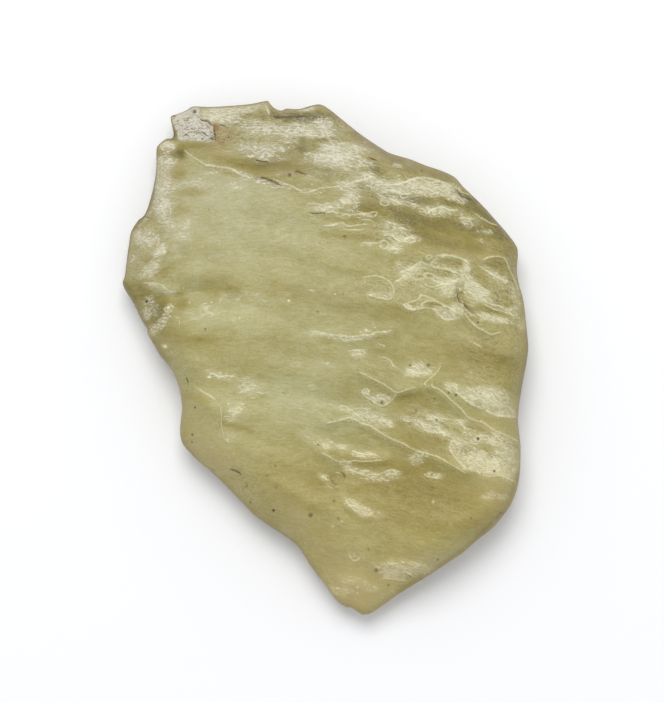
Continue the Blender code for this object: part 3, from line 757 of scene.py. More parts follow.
# The rows read as those of the pale lines.
DARK_CRACKS_AND_SHADE_LINES = {
    "shell chip": (0.17, 0, ((229, 467.5), (236, 469.5), (241, 472), (243, 476))),
    "lower end of the chip": (0.15, 0, ((247.5, 481), (247.5, 485), (243, 487.5))),
    "specks on the white face": (0.20, 0, ((199, 118), (203, 121.5), (208, 122), (212, 126), (216, 127))),
    "crescent": (0.14, 0, ((199, 134.5), (203, 133.5), (207, 136), (211, 138.5))),
    "small crescent": (0.14, 0, ((183, 138.5), (187, 135), (190.5, 138))),
    "foot of the white face": (0.13, 0, ((208, 140), (213, 140), (216, 141))),
    "left of the stain": (0.16, 0, ((215, 126), (215, 133), (216.5, 142))),
    "over the stain": (0.16, 0, ((217, 126.5), (223, 126.5), (229, 129))),
    "right of the stain": (0.13, 0, ((229.5, 135), (229, 139.5), (232, 141))),
    "left crack": (0.18, 0, ((144, 216), (147, 217.3), (151, 218))),
    "foot crack": (0.15, 0, ((187, 375), (189, 380), (189.5, 385))),
    "cut": (0.17, 0, ((461, 303), (464, 307), (468, 311.5))),
    "head of the cut": (0.11, 0, ((458, 292), (456, 296), (457, 300.5), (461, 305))),
    "across the head": (0.09, 0, ((457, 293.5), (464, 293.5))),
    "dash by the lower crest": (0.13, 0, ((316, 441), (320.5, 444.5))),
    "dash by the right rim": (0.16, 0, ((480, 339.3), (486, 339.3))),
    "second dash": (0.18, 0, ((492, 342), (496, 343.5))),
    "left rim dash": (0.15, 0, ((211, 467.5), (216, 471))),
    "cross": (0.11, 0, ((496, 510), (501, 512.5), (504, 514.5))),
    "arm of the cross": (0.10, 0, ((500, 513), (506, 510.5))),
    "tip scratch": (0.12, 0, ((406, 572), (412, 577))),
    "middle scratch": (0.10, 0, ((281, 393), (287, 390))),
    "ring's right side": (0.15, 0, ((341, 470), (344.5, 474), (344, 478))),
    "ring's foot": (0.15, 0, ((332, 478), (335, 482), (341, 482))),
    "ring's left side": (0.10, 0, ((331, 474), (330.5, 477), (333, 480))),
    # Painted shade under the main crest.
    "under the main crest": (0.20, 0, ((258, 179), (266, 180.5), (274, 184), (284, 188))),
    "under the pale cloud": (0.12, 0, ((254, 161), (261, 163), (271, 163))),
    "dash in the channel": (0.14, 0, ((240, 166), (246, 167))),
    "dashes above the crest": (0.14, 0, ((295, 172), (300, 174), (308, 176))),
    # Painted shade in the hollow of the end.
    "hollow in the end": (0.22, 0, ((272, 117), (280, 118.5), (292, 118), (306, 117.5))),
    # Painted shade under the rim crest.
    "under the rim crest": (0.18, 0, ((455, 190), (460, 197), (467, 199.5), (473, 202))),
    "level crack": (0.13, 0, ((306, 214), (316, 215.3), (327, 214.3))),
    "dark dash": (0.16, 0, ((341, 238), (348, 237.5))),
    "dash in the rim band": (0.14, 0, ((367, 159), (372, 161), (378, 163))),
    "second dash in the band": (0.14, 0, ((395, 170), (400, 170))),
    "dark loop on the crest": (0.10, 0, ((371, 422), (374, 424.5), (373, 427))),
}
crack_and_shade_distances, _ = line_channels(upper_x, upper_y, DARK_CRACKS_AND_SHADE_LINES, 1)
pale_relief = np.exp(-((pale_distances / PALE_LINE_RELIEF_WIDTH) ** 2)).max(axis=0)
upper_z += PALE_LINE_RELIEF * pale_relief * smooth_step(upper_inside)
print("the pale lines stand", PALE_LINE_RELIEF, "mm above the glass")

# %% [markdown]
# ## Frost, tone and stains
#
# The colour of the glass changes slowly across the slab, from pale green on the left to olive and ochre.
# Frost lies on it in ragged patches. Both start as soft ovals and strokes. Noise then makes them ragged
# along the wind, and all of that fits on the mesh's points. The material only adds the finest grain.

# %% Frosted patches
PATCH_FALL = 0.7
PATCH_POWER = 1.4
MARGIN_STRENGTH = 0.42
FROST_BREAKUP = 0.30
UNDERSIDE_FROST = 0.22

# Broad and fine fibres along the wind, and some lumps.
FROST_NOISE = ((0.55, 3.2, 0.8, 41, 2, True), (0.50, 1.2, 0.45, 42, 1, True), (0.35, 1.6, 1.3, 43, 2, False))

# Middle, half length and half width in pixels, fall to the right in degrees, strength.
FROST_PATCHES = {
    "left shoulder": (
        (169, 146, 10, 4.5, 0, 0.90), (167, 163, 7, 6, 0, 0.75), (165, 175, 5, 8, 0, 0.50),
        (164, 188, 7, 8, 0, 0.60), (161, 206, 6, 10, 10, 0.55), (148, 237, 11, 8, 0, 0.70),
        (139, 237, 4, 5, 0, 0.45), (162, 251, 6, 4, -20, 0.90), (156, 262, 9, 5, -50, 0.60),
        (150, 273, 10, 5, -20, 0.70), (183, 228, 9, 9, 0, 0.28), (195, 186, 24, 4, 0, 0.35),
        (153, 303, 10, 5, 0, 0.50), (148, 314, 4, 7, 0, 0.75), (156, 312, 5, 5, 0, 0.45),
        (166, 346, 4, 3, 0, 0.70), (178, 352, 8, 6, 0, 0.30), (170, 240, 16, 14, 0, 0.20),
        (166, 190, 8, 40, 0, 0.38), (142, 262, 12, 24, 0, 0.24)),
    "blunt end": (
        (221, 116, 18, 8, 0, 0.88), (252, 109, 14, 5, -5, 0.50), (248, 128, 14, 6, 0, 0.55),
        (270, 131, 16, 6, 8, 0.50), (262, 153, 19, 8, 6, 0.80), (248, 150, 12, 6, 10, 0.45),
        (323, 125, 9, 6, 0, 0.90), (318, 134, 20, 5, 4, 0.80), (298, 131, 14, 6, 0, 0.60),
        (340, 158, 19, 10, 5, 1.00), (354, 150, 12, 5, 12, 0.65), (334, 147, 10, 4, 0, 0.70),
        (318, 161, 14, 6, 0, 0.60), (361, 166, 10, 5, 10, 0.50), (352, 197, 8, 12, 0, 0.85),
        (344, 189, 8, 5, 0, 0.50), (310, 109, 12, 2.5, -6, 0.60), (310, 178, 22, 5, 6, 0.28),
        (300, 136, 66, 22, 5, 0.20), (370, 190, 60, 20, 6, 0.16)),
    "upper right": (
        (420, 190, 36, 8, 3, 0.90), (396, 190, 20, 5, 4, 0.65), (453, 199, 11, 5, 20, 0.80),
        (437, 214, 13, 5, -3, 0.85), (456, 212, 9, 3, 10, 0.40), (465, 222, 9, 5, 0, 0.55),
        (486, 233, 5, 3, 0, 0.70), (478, 231, 12, 4, 20, 0.40), (391, 226, 10, 4, 8, 0.60),
        (401, 232, 9, 4, 8, 0.65), (386, 237, 8, 4, 0, 0.50), (404, 241, 14, 4, 0, 0.80),
        (393, 250, 10, 4, 5, 0.65), (386, 256, 4, 5, 0, 0.35), (397, 168, 4, 2, 0, 0.60),
        (379, 188, 9, 5, 20, 0.50), (367, 179, 8, 4, -15, 0.55), (395, 203, 8, 3, 20, 0.65),
        (325, 209, 12, 4, 0, 0.45), (345, 205, 10, 5, 0, 0.40), (354, 218, 18, 3, 0, 0.42),
        (335, 227, 14, 2, 0, 0.35), (312, 221, 14, 5, 0, 0.28), (406, 163, 9, 5, 15, 0.30),
        (480, 246, 12, 5, 10, 0.30), (368, 246, 8, 4, 0, 0.35), (372, 168, 10, 4, 12, 0.25)),
    "right middle": (
        (409, 271, 8, 5, 0, 0.65), (399, 269, 8, 7, 0, 0.45), (398, 281, 9, 4, -30, 0.50),
        (420, 268, 10, 5, 0, 0.50), (453, 281, 13, 5, 12, 0.65), (463, 273, 4, 11, 15, 0.75),
        (466, 286, 6, 8, 0, 0.60), (448, 291, 9, 7, 0, 0.85), (436, 284, 12, 4, 4, 0.50),
        (448, 313, 13, 6, 8, 0.90), (457, 306, 7, 5, 20, 0.60), (477, 295, 13, 6, 30, 0.70),
        (472, 302, 8, 5, 0, 0.50), (492, 319, 18, 4, 12, 0.90), (520, 327, 5, 5, 0, 0.60),
        (486, 271, 10, 4, 30, 0.55), (500, 280, 10, 3, 20, 0.55), (514, 298, 5, 16, -12, 0.40),
        (384, 295, 9, 3, 10, 0.55), (510, 314, 7, 6, 0, 0.45), (476, 318, 7, 4, 10, 0.50),
        (425, 293, 8, 3, 0, 0.30)),
    "middle": (
        (346, 339, 15, 3, 0, 0.50), (364, 332, 6, 3, 0, 0.45), (359, 354, 9, 4, 0, 0.65),
        (415, 369, 8, 6, 0, 0.95), (408, 373, 6, 3, 0, 0.60), (423, 373, 7, 3, 0, 0.60),
        (379, 398, 8, 4, 0, 0.75), (388, 397, 6, 3, 0, 0.50), (366, 391, 4, 3, 0, 0.50),
        (393, 366, 6, 3, 10, 0.35), (365, 414, 13, 7, 12, 0.60), (379, 418, 13, 5, 5, 0.50),
        (345, 407, 12, 4, 0, 0.45), (386, 424, 7, 4, 0, 0.55), (433, 421, 8, 7, 0, 0.65),
        (422, 424, 10, 5, 20, 0.65), (434, 429, 12, 3, 8, 0.75), (406, 418, 6, 3, 0, 0.55),
        (447, 433, 9, 4, 10, 0.80), (475, 436, 7, 5, 0, 0.50), (460, 421, 10, 3, 5, 0.50),
        (332, 365, 14, 4, 5, 0.38), (312, 334, 14, 4, 4, 0.30)),
    "lower right": (
        (451, 386, 8, 4, 10, 0.90), (470, 392, 14, 6, 5, 0.70), (486, 395, 18, 8, 5, 0.90),
        (478, 403, 12, 4, 20, 0.80), (500, 405, 14, 8, 10, 0.60), (498, 413, 14, 3, 5, 0.80),
        (455, 444, 8, 6, 0, 0.75), (470, 440, 14, 4, 8, 0.55), (496, 438, 18, 6, 20, 0.75),
        (470, 456, 17, 7, 12, 0.78), (487, 461, 22, 8, 5, 0.92), (505, 453, 14, 8, 20, 0.60),
        (480, 469, 20, 4, 5, 0.70), (508, 470, 8, 8, 0, 0.50), (486, 495, 7, 3, 5, 0.60),
        (501, 496, 6, 3, 0, 0.60)),
    "lower middle": (
        (327, 444, 5, 5, 0, 0.80), (343, 446, 9, 3, 5, 0.72), (364, 453, 14, 3, 4, 0.80),
        (349, 464, 8, 4, 20, 0.70), (362, 470, 15, 3, 12, 0.70), (380, 475, 13, 4, 0, 0.65),
        (392, 471, 8, 3, 0, 0.50), (415, 457, 7, 6, 0, 0.90), (423, 453, 6, 3, 20, 0.55),
        (436, 474, 9, 3, 4, 0.75), (324, 476, 7, 4, 35, 0.60), (355, 504, 13, 5, 36, 0.80),
        (352, 553, 6, 4, 0, 0.55), (350, 588, 28, 17, 0, 0.32), (403, 567, 24, 8, 2, 0.80),
        (386, 571, 8, 6, 0, 0.55), (370, 511, 14, 5, 0, 0.25)),
    "left middle": (
        (222, 375, 24, 5, 4, 0.34), (250, 387, 11, 9, 0, 0.58), (236, 410, 13, 9, 0, 0.46),
        (232, 436, 8, 8, 0, 0.42), (218, 316, 30, 13, 0, 0.36), (302, 405, 12, 8, 0, 0.36),
        (310, 437, 12, 8, 0, 0.30), (311, 386, 8, 4, 0, 0.40), (236, 184, 44, 9, 10, 0.34),
        (252, 300, 60, 10, -4, 0.16), (300, 420, 20, 4, 4, 0.30), (285, 386, 10, 4, 0, 0.28)),
}

# Half width in millimetres, strength, then the line in pixels.
FROST_BANDS = {
    "lower left rib": (0.65, 0.75, ((171, 308), (167, 317), (160, 326), (152, 333))),
    "ridge right of the arch": (0.50, 0.80, ((464, 262), (465, 272), (469, 280), (475, 287), (484, 296))),
    "lower edge of the knot": (0.35, 0.70, ((436, 314), (446, 319), (458, 318))),
    "edge of the dark lens": (0.30, 0.60, ((478, 299), (488, 303), (500, 308), (510, 310))),
    "across the long frost": (0.30, 0.60, ((458, 452), (474, 460), (490, 466), (506, 474))),
    "upper strand": (0.28, 0.60, ((462, 431), (478, 436), (496, 444), (512, 452))),
    "middle strand": (0.28, 0.55, ((452, 441), (468, 446), (484, 455), (500, 458))),
    "edge of the band": (0.40, 0.50, ((380, 198), (398, 204), (416, 207), (430, 212))),
    "crest of the channel": (0.40, 0.45, ((206, 166), (232, 171), (262, 182), (290, 190), (320, 194))),
    "left rim": (0.35, 0.50, ((160, 160), (158, 180), (156, 200), (150, 214), (140, 226))),
}


def soft_patches(x, y, patches):
    """How deep each point is in any of the patches, from 0 to 1. A patch is full in its middle and falls
    off as a bell curve of a power of the squared distance. Patches add up as layers of paint do: what is
    left bare is the product of what each one leaves bare."""
    bare = np.ones(x.shape)
    for group in patches.values():
        for px, py, half_length, half_width, slope, strength in group:
            (middle_x, middle_y), = on_slab((px, py))
            depth = in_oval(x, y, middle_x, middle_y, half_length * PIXEL_MM, half_width * PIXEL_MM, slope)
            bare *= 1 - strength * np.exp(-PATCH_FALL * depth**PATCH_POWER)
    return 1 - bare


bare = 1 - soft_patches(upper_x, upper_y, FROST_PATCHES)
for half_width, strength, points in FROST_BANDS.values():
    line = smooth_curve(on_slab(points), closed=False)
    near = close_to(upper_x, upper_y, line, BELL_REACH * half_width)
    distance, _ = along_line(upper_x[near], upper_y[near], line)
    bare[near] *= 1 - strength * np.exp(-((distance / half_width) ** 2))
soft_frost = 1 - bare * (1 - MARGIN_STRENGTH * pale_margins)
upper_frost = soft_frost + FROST_BREAKUP * noise_sum(upper_x, upper_y, upper_u, upper_v, FROST_NOISE)
lower_frost = UNDERSIDE_FROST + FROST_BREAKUP * noise_sum(lower_x, lower_y, lower_u, lower_v, FROST_NOISE)
print("frost covers", round(float((upper_frost > 0.5).mean()) * 100), "% of the upper sheet's points")

# %% [markdown]
# The body of the glass runs from pale green through olive to ochre. Noise alone could colour it, but the
# colour follows the form: darker along much of the rim and paler on worn faces, with painted shade in
# hollows, folds, troughs and under crests. So each point holds one number for its tone and painted
# shade, and ovals and strokes change it where the photograph shows it.

# %% Tone, from pale green through olive to ochre
TONE_OF_GLASS = 0.45

# Lumps in two sizes, then broad and fine streaks along the wind.
TONE_NOISE = (
    (0.055, 5.0, 4.0, 51, 3, False), (0.040, 1.4, 1.1, 52, 2, False), (0.040, 6.0, 1.4, 53, 2, True),
    (0.045, 1.4, 0.45, 54, 1, True))

# Middle, half length and half width in pixels, fall to the right in degrees, change of tone.
# Ovals that darken hollows, folds and the floors of dimples and loops are painted shade; the others change
# the glass's own tone.
TONE_AND_SHADE_OVALS = {
    "pale green middle": (235, 245, 70, 55, 0, -0.17),
    "pale green top": (215, 195, 46, 20, 5, -0.14),
    "green beyond it": (335, 250, 50, 22, 5, -0.16),
    "pale left foot": (232, 316, 45, 14, 0, -0.16),
    "pale lower left": (235, 412, 34, 26, 0, -0.12),
    "olive zone": (425, 490, 44, 20, 5, 0.34),
    "olive beside the long crest": (420, 440, 30, 12, 22, 0.30),
    "olive under the long crest": (410, 466, 30, 8, 10, 0.26),
    "olive under the middle crest": (412, 402, 22, 9, 10, 0.24),
    "dark left block": (170, 155, 12, 5, 0, 0.75),
    "its darkest corner": (182, 155, 4.5, 6, 0, 0.80),
    "brown shoulder": (178, 175, 8, 6, 0, 0.50),
    "brown bar": (190, 194, 18, 3.5, 0, 0.42),
    "brown foot of the shoulder": (178, 208, 10, 8, 0, 0.26),
    "dark wedge at the notch": (176, 131, 4, 9, 20, 0.90),
    "left brown zone": (144, 294, 22, 11, 30, 0.56),
    "speckled zone": (160, 312, 12, 14, 30, 0.60),
    "pale below the left crest": (156, 290, 11, 5, 8, -0.34),
    "dark fold": (184, 304, 7, 9, 0, 0.40),
    "fold under the middle": (228, 290, 24, 3.5, -3, 0.24),
    "fold under the pale foot": (203, 340, 17, 5, 0, 0.24),
    "grey hollow on the left": (150, 262, 10, 6, -20, 0.34),
    "second grey hollow": (168, 270, 12, 5, -35, 0.30),
    "third grey hollow": (160, 237, 6, 9, 0, 0.26),
    "grey left rim": (140, 250, 6, 5, 0, 0.26),
    "brown above the crest": (262, 167, 30, 6, 8, 0.62),
    "dark patch above the crest": (300, 150, 14, 8, 5, 0.62),
    "its foot": (284, 165, 16, 7, 20, 0.50),
    "speckled brown": (311, 122, 14, 4, 4, 0.50),
    "beside the white face": (238, 126, 8, 8, 0, 0.36),
    "under the white face": (200, 147, 22, 3.5, 2, 0.50),
    "channel": (215, 156, 24, 6, 14, 0.20),
    "brown by the upper rim": (372, 170, 14, 7, 25, 0.60),
    "arch floor": (444, 263, 10, 3.5, 3, 0.20),
    "dimple floor": (445, 275.5, 12, 3.5, 12, 0.34),
    "ring floor": (428, 277, 3, 1.5, 0, 0.30),
    "inner loop floor": (433, 306, 9, 3, 6, 0.34),
    "outer loop floor": (411, 305, 6, 3, 0, 0.24),
    "loose grains floor": (373, 288, 14, 6, 8, 0.08),
    "round dimple": (495.5, 304, 4.5, 3.5, 0, 0.50),
    "lens": (490, 311.5, 15, 3.8, 14, 0.56),
    "beside the ridge": (484, 284, 12, 6, 35, 0.30),
    "above the rim arc": (495, 250, 18, 5, 10, 0.20),
    "floor of the rim arc": (497, 267, 8, 5, 20, 0.22),
    "hollow by the rim": (504, 300, 7, 10, -10, 0.26),
    "tan face of the cut": (470, 313, 4, 10, -40, 0.50),
    "right field": (480, 362, 46, 20, 5, 0.24),
    "brown smudge": (502, 358, 8, 4, -8, 0.50),
    "left of the knot": (395, 310, 30, 14, 10, 0.12),
    "foot of the field": (475, 505, 36, 20, -30, 0.14),
    "middle of the lower half": (310, 490, 50, 34, 10, 0.04),
    "right of the leaf": (385, 495, 34, 14, 8, 0.14),
    "left rim of the foot": (186, 425, 6, 26, 0, 0.16),
    "pale tip": (362, 585, 46, 34, 0, -0.20),
    "brown of the blunt end": (300, 138, 92, 26, 5, 0.24),
    "brown of the upper right": (446, 205, 84, 44, 24, 0.34),
    "beside the cluster": (385, 236, 44, 24, 8, 0.22),
    "left side of the foot": (180, 432, 5, 22, 0, 0.16),
    "pale strip of the foot": (216, 448, 22, 20, 40, -0.14),
    "pale foot of the left edge": (300, 518, 24, 14, 40, -0.12),
    "olive of the lower middle": (345, 488, 50, 30, 0, 0.12),
    "olive beside the tip": (420, 518, 22, 20, 0, 0.20),
    "olive of the middle": (295, 280, 74, 18, 0, 0.12),
    "brown left corner": (158, 318, 34, 18, 30, 0.16),
    "olive of the right field": (455, 360, 60, 16, 0, 0.10),
    "brown of the upper rim": (380, 156, 22, 9, 34, 0.20),
    "grey left shoulder": (146, 206, 14, 40, 8, 0.30),
    "olive right of the tip": (440, 556, 30, 12, -36, -0.14),
    "pale middle of the tip": (346, 588, 18, 14, 0, -0.14),
    "pale end of the right rim": (496, 488, 18, 14, 0, -0.18),
    "pale middle": (300, 392, 34, 50, 0, -0.20),
    "pale below it": (342, 508, 24, 16, 0, -0.12),
    "brown top rim": (300, 117, 38, 9, 0, 0.32),
    "brown left of it": (256, 121, 20, 12, 0, 0.22),
    "right of the ridge": (508, 276, 12, 34, -8, 0.22),
    "olive by the right rim": (508, 372, 14, 34, -8, 0.20),
}

# Change of tone, half width in millimetres, then the line in pixels.
# Strokes under crests and in hollows, grooves and troughs are painted shade, and the strokes along the rims
# darken the glass there; the rest change its own tone.
TONE_AND_SHADE_STROKES = {
    "olive band and painted shade in the long hollow": (0.50, 1.10, (
        (356, 210), (372, 209), (400, 214), (430, 226), (462, 228), (500, 236))),
    "branch of the band": (0.36, 0.75, ((404, 200), (430, 204), (458, 206), (480, 214), (498, 226))),
    "band under the ring": (0.40, 1.00, ((398, 220), (425, 238), (450, 246), (478, 250))),
    "under the tongue": (0.34, 0.45, ((388, 196), (402, 199), (418, 201))),
    "upper right rim": (0.66, 0.90, ((356, 136), (392, 160), (424, 170), (446, 178))),
    "right shoulder": (0.40, 0.90, ((462, 196), (478, 206), (498, 226), (513, 247))),
    "left rim": (0.80, 0.50, ((155, 176), (151, 200), (144, 215), (134, 228))),
    "rim below the left corner": (0.50, 0.55, ((125, 284), (135, 304), (147, 328), (155, 345), (166, 361))),
    "groove in the end": (0.62, 0.60, ((273, 116), (283, 118), (300, 117.5), (320, 116.5), (338, 118))),
    "step in the end": (0.40, 0.40, ((236, 118), (250, 117), (266, 119))),
    "shade under the main crest": (0.50, 0.40, ((256, 179), (268, 182), (285, 188), (296, 192))),
    "shade under the upper crest": (0.30, 0.30, ((206, 168), (222, 172), (240, 178))),
    "shade under the rim crest": (0.45, 0.50, ((456, 192), (462, 198), (474, 202))),
    "curved cut": (0.50, 0.32, ((458, 290), (456.5, 296), (460, 304), (467, 311))),
    "right rim": (0.50, 0.50, ((526, 335), (526, 355), (523, 375), (520, 392))),
    "lower right rim": (0.42, 0.50, ((519, 470), (505, 509), (470, 543), (440, 565), (400, 591))),
    "tip rim": (0.18, 0.45, ((392, 597), (366, 612), (345, 604), (325, 583))),
    "left lower rim": (0.24, 0.40, ((182, 440), (196, 458), (230, 488), (262, 520), (298, 546), (318, 574))),
    "fold by the left foot": (0.18, 0.60, ((176, 392), (190, 396), (210, 400))),
    "under the left foot frost": (0.30, 0.45, ((224, 423), (238, 425), (252, 430))),
    "level trough": (0.26, 0.50, ((322, 236), (345, 237), (372, 240), (392, 238))),
    "second level trough": (0.24, 0.35, ((324, 221), (344, 221), (362, 222))),
    "third level trough": (0.22, 0.30, ((330, 210), (346, 211), (358, 211))),
    "streak in the middle": (0.12, 0.70, ((300, 262), (350, 272), (400, 285))),
    "beside the loop": (0.20, 0.40, ((399, 398), (408, 395), (420, 393))),
    "under the lower crest": (0.30, 0.30, ((346, 462), (364, 463), (384, 462))),
    "between the frosts": (0.30, 0.35, ((330, 451), (342, 455), (356, 456), (372, 456))),
    "under the leaf": (0.20, 0.40, ((346, 509), (356, 514), (368, 518))),
    "in the wide frost": (0.60, 0.40, ((455, 447), (468, 450), (482, 452), (494, 456))),
    "above the strands": (0.35, 0.35, ((466, 427), (482, 431), (500, 440), (514, 446))),
}
upper_tone_and_shade = TONE_OF_GLASS + noise_sum(upper_x, upper_y, upper_u, upper_v, TONE_NOISE)
lower_tone = TONE_OF_GLASS + noise_sum(lower_x, lower_y, lower_u, lower_v, TONE_NOISE)
upper_tone_and_shade += in_ovals(upper_x, upper_y, TONE_AND_SHADE_OVALS) + beside_lines(upper_x, upper_y, TONE_AND_SHADE_STROKES)
print("tone", extent(upper_tone_and_shade, 2))

# %% [markdown]
# Four more things lie on the glass. A pinkish tan shows where it is thinnest and along some edges, a brown
# stain lies by the notch, and sand has cut small cells, mostly into the right side. These are soft
# patches, like the frost. The fourth is the white broken face beside the notch. Its edge is sharp, so it
# is drawn as a closed shape, and each point holds its distance to that edge.

# %% Blush, stain, cells and the white broken face
FAR_OUTSIDE = -2.0
# Where the thin dark line of painted shade at the rim's edge shows.
UPPER_HALF_FROM = 6.0
RIGHT_SIDE_FROM = 20.0
RIGHT_SIDE_FOOT = -20.0
EDGE_SHADE_FADE = 6.0
SIDE_FADE = 4.0
SIDE_EDGE_SHADE = 0.6
FAINT_EDGE_SHADE = 0.12

# Middle, half length and half width in pixels, fall to the right in degrees, strength.
BLUSH_PATCHES = {
    "tip": ((354, 590, 34, 24, 0, 0.95), (400, 568, 26, 9, -8, 0.65), (330, 560, 20, 20, 45, 0.25)),
    "left foot": (
        (190, 425, 12, 26, 0, 0.45), (216, 450, 24, 18, 40, 0.60), (300, 518, 26, 12, 44, 0.45),
        (212, 462, 24, 8, 48, 0.50), (205, 205, 30, 16, 0, 0.15)),
    "blunt end": (
        (290, 166, 26, 7, 20, 0.40), (368, 152, 26, 8, 34, 0.60), (420, 170, 34, 5, 20, 0.45),
        (226, 152, 16, 6, 0, 0.40), (262, 122, 20, 5, 5, 0.35)),
    "left shoulder": ((166, 175, 10, 26, 0, 0.40), (145, 245, 14, 18, 0, 0.35), (185, 232, 14, 14, 0, 0.25)),
    "right": (
        (508, 412, 14, 12, 0, 0.50), (490, 428, 12, 5, 20, 0.45), (475, 256, 26, 9, 10, 0.25),
        (500, 348, 22, 12, 0, 0.20), (470, 312, 4, 8, -40, 0.50), (480, 484, 20, 8, 0, 0.40),
        (496, 492, 18, 16, 0, 0.55)),
}
STAIN_PATCHES = {"iron stain": (
    (222, 134, 7, 8, 0, 0.55), (222, 141.5, 8, 2.5, 0, 0.90), (230, 138, 3, 4, 0, 0.55),
    (218, 128, 5, 3, 0, 0.55), (222, 149, 4, 4, 0, 0.35), (216, 133, 2, 7, 0, 0.50),
    (212, 151, 3, 2, 0, 0.30))}
CELL_PATCHES = {
    "right middle": (
        (440, 275, 34, 19, 10, 0.60), (498, 290, 16, 18, 30, 0.80), (410, 290, 20, 18, 10, 0.30),
        (380, 290, 20, 10, 0, 0.45)),
    "elsewhere": (
        (392, 232, 22, 14, 10, 0.70), (428, 422, 22, 9, 12, 0.80), (468, 224, 20, 8, 20, 0.60),
        (480, 450, 34, 20, 14, 0.45), (366, 416, 20, 9, 8, 0.75), (350, 158, 34, 16, 5, 0.35),
        (378, 188, 16, 9, 0, 0.80), (310, 124, 30, 8, 0, 0.60), (380, 398, 12, 6, 0, 0.60),
        (486, 396, 22, 9, 5, 0.40), (250, 386, 12, 9, 0, 0.40), (166, 205, 8, 14, 0, 0.60),
        (152, 312, 10, 8, 0, 0.50), (246, 134, 12, 8, 0, 0.50)),
    "blunt end and left shoulder": (
        (290, 130, 80, 24, 4, 0.50), (166, 190, 12, 44, 0, 0.40), (150, 262, 20, 40, 0, 0.30),
        (400, 190, 70, 22, 10, 0.35), (505, 260, 14, 40, 0, 0.35)),
    "faint ones": ((492, 352, 34, 36, 0, 0.28), (230, 476, 44, 18, 46, 0.20), (420, 500, 60, 24, 0, 0.16)),
}
WHITE_FACE_PX = (
    (170, 117), (177, 113.5), (186, 110), (193, 107), (199, 107), (201, 118), (208, 122), (214, 127),
    (214.5, 134), (216, 143.5), (205, 142.8), (192, 141), (182, 142), (178, 138), (176, 131), (173, 124),
)
upper_blush = soft_patches(upper_x, upper_y, BLUSH_PATCHES)
upper_stain = soft_patches(upper_x, upper_y, STAIN_PATCHES)
upper_cells = soft_patches(upper_x, upper_y, CELL_PATCHES)


def inside_shape(x, y, corners):
    """Signed distance to a closed shape, positive inside. A point is inside if a line from it to the
    right crosses the sides an odd number of times."""
    sides = np.vstack([corners, corners[:1]])
    inside = np.zeros(x.shape, bool)
    for (ax, ay), (bx, by) in zip(sides[:-1], sides[1:]):
        if ay != by:
            crosses = (ay > y) != (by > y)
            inside ^= crosses & (x < ax + (y - ay) * (bx - ax) / (by - ay))
    distance = np.abs(along_line(x, y, sides)[0])
    return np.where(inside, distance, -distance)


def rim_edge_shade_share(x, y):
    """How strongly the thin dark line of painted shade at the rim shows: full around the upper half, half
    way down the right side, and faint along the lower edges."""
    upper_half = smooth_step((y - UPPER_HALF_FROM) / EDGE_SHADE_FADE)
    right_side = SIDE_EDGE_SHADE * smooth_step((x - RIGHT_SIDE_FROM) / SIDE_FADE)
    right_side = right_side * smooth_step((y - RIGHT_SIDE_FOOT) / EDGE_SHADE_FADE)
    return np.maximum(np.maximum(upper_half, right_side), FAINT_EDGE_SHADE)


upper_white = np.maximum(inside_shape(upper_x, upper_y, on_slab(WHITE_FACE_PX)), FAR_OUTSIDE)
print("white face covers", int((upper_white > 0).sum()), "points")

# %% [markdown]
# Small pits and glints are finer still. Each is a dot whose middle, radius and strength are known, so
# every point holds its offset from the nearest dot, counted in the dot's radius. Offsets stay exact
# between the points, as long as dots of one channel keep a distance.

# %% Pits and glints
DOT_REACH = 0.9
DOT_CHANNELS = ("dots_a", "dots_b", "dots_c")

# The middle and the radius in pixels of each small pit, and how dark it is.
PITS_PX = (
    (195, 112, 2.6, 0.8), (203, 140, 1.3, 0.8), (213, 140.5, 1.3, 0.8), (148, 302, 1.6, 1.0),
    (274, 509, 1.7, 1.0), (311, 513, 2.8, 0.65), (207, 329.5, 1.3, 0.75), (196.5, 407, 1.3, 0.85),
    (193.5, 434, 1.4, 0.8), (193, 441.5, 1.2, 0.7), (276, 464.5, 1.7, 0.4), (277, 486, 1.6, 0.4),
    (268, 474, 1.5, 0.3), (334, 499, 2.0, 0.45), (338, 516, 1.7, 0.45), (318, 312.5, 1.3, 0.5),
    (343, 295, 1.3, 0.4), (345, 238, 1.8, 0.4), (320, 244, 1.2, 0.45), (409, 365, 1.4, 0.8),
    (427, 365, 2.0, 0.7), (447, 392, 1.5, 0.6), (454, 394.5, 1.9, 0.7), (478, 393, 1.3, 0.5),
    (426, 399, 1.1, 0.5), (433, 398, 1.2, 0.6), (435, 419, 1.6, 0.7), (476, 437.5, 1.9, 0.9),
    (492, 469.5, 1.6, 0.75), (476, 323, 1.5, 0.75), (376, 568.5, 2.3, 0.55), (388, 584, 1.7, 0.5),
    (421.5, 579.5, 1.5, 0.5), (437, 558, 1.7, 0.5), (368, 547, 1.6, 0.45), (290, 176.5, 2.4, 0.7),
    (297, 173, 1.8, 0.45), (381, 401.5, 2.0, 0.65), (469, 516, 1.3, 0.5), (415, 410, 1.5, 0.5),
    (251, 501.5, 1.6, 0.6), (210, 211, 1.0, 0.5), (264, 121, 1.2, 0.4), (185, 121, 1.2, 0.4),
    (421, 172, 1.5, 0.45),
)

# The same for each glint, and how bright it is.
GLINTS_PX = (
    (289.5, 301.5, 1.7, 0.9), (335, 295, 1.1, 0.7), (211, 376.5, 1.6, 0.8), (213, 303, 1.2, 0.6),
    (191, 303, 1.2, 0.6), (241, 318, 1.3, 0.6), (166.5, 346.5, 1.9, 0.8), (170, 308, 1.7, 0.7),
    (342, 519, 1.3, 0.6), (333, 524, 1.7, 0.5), (432, 500, 1.8, 0.5), (230, 403, 1.3, 0.6),
    (185, 289, 1.2, 0.4), (312, 186, 1.4, 0.5), (166, 253, 2.2, 0.6),
)


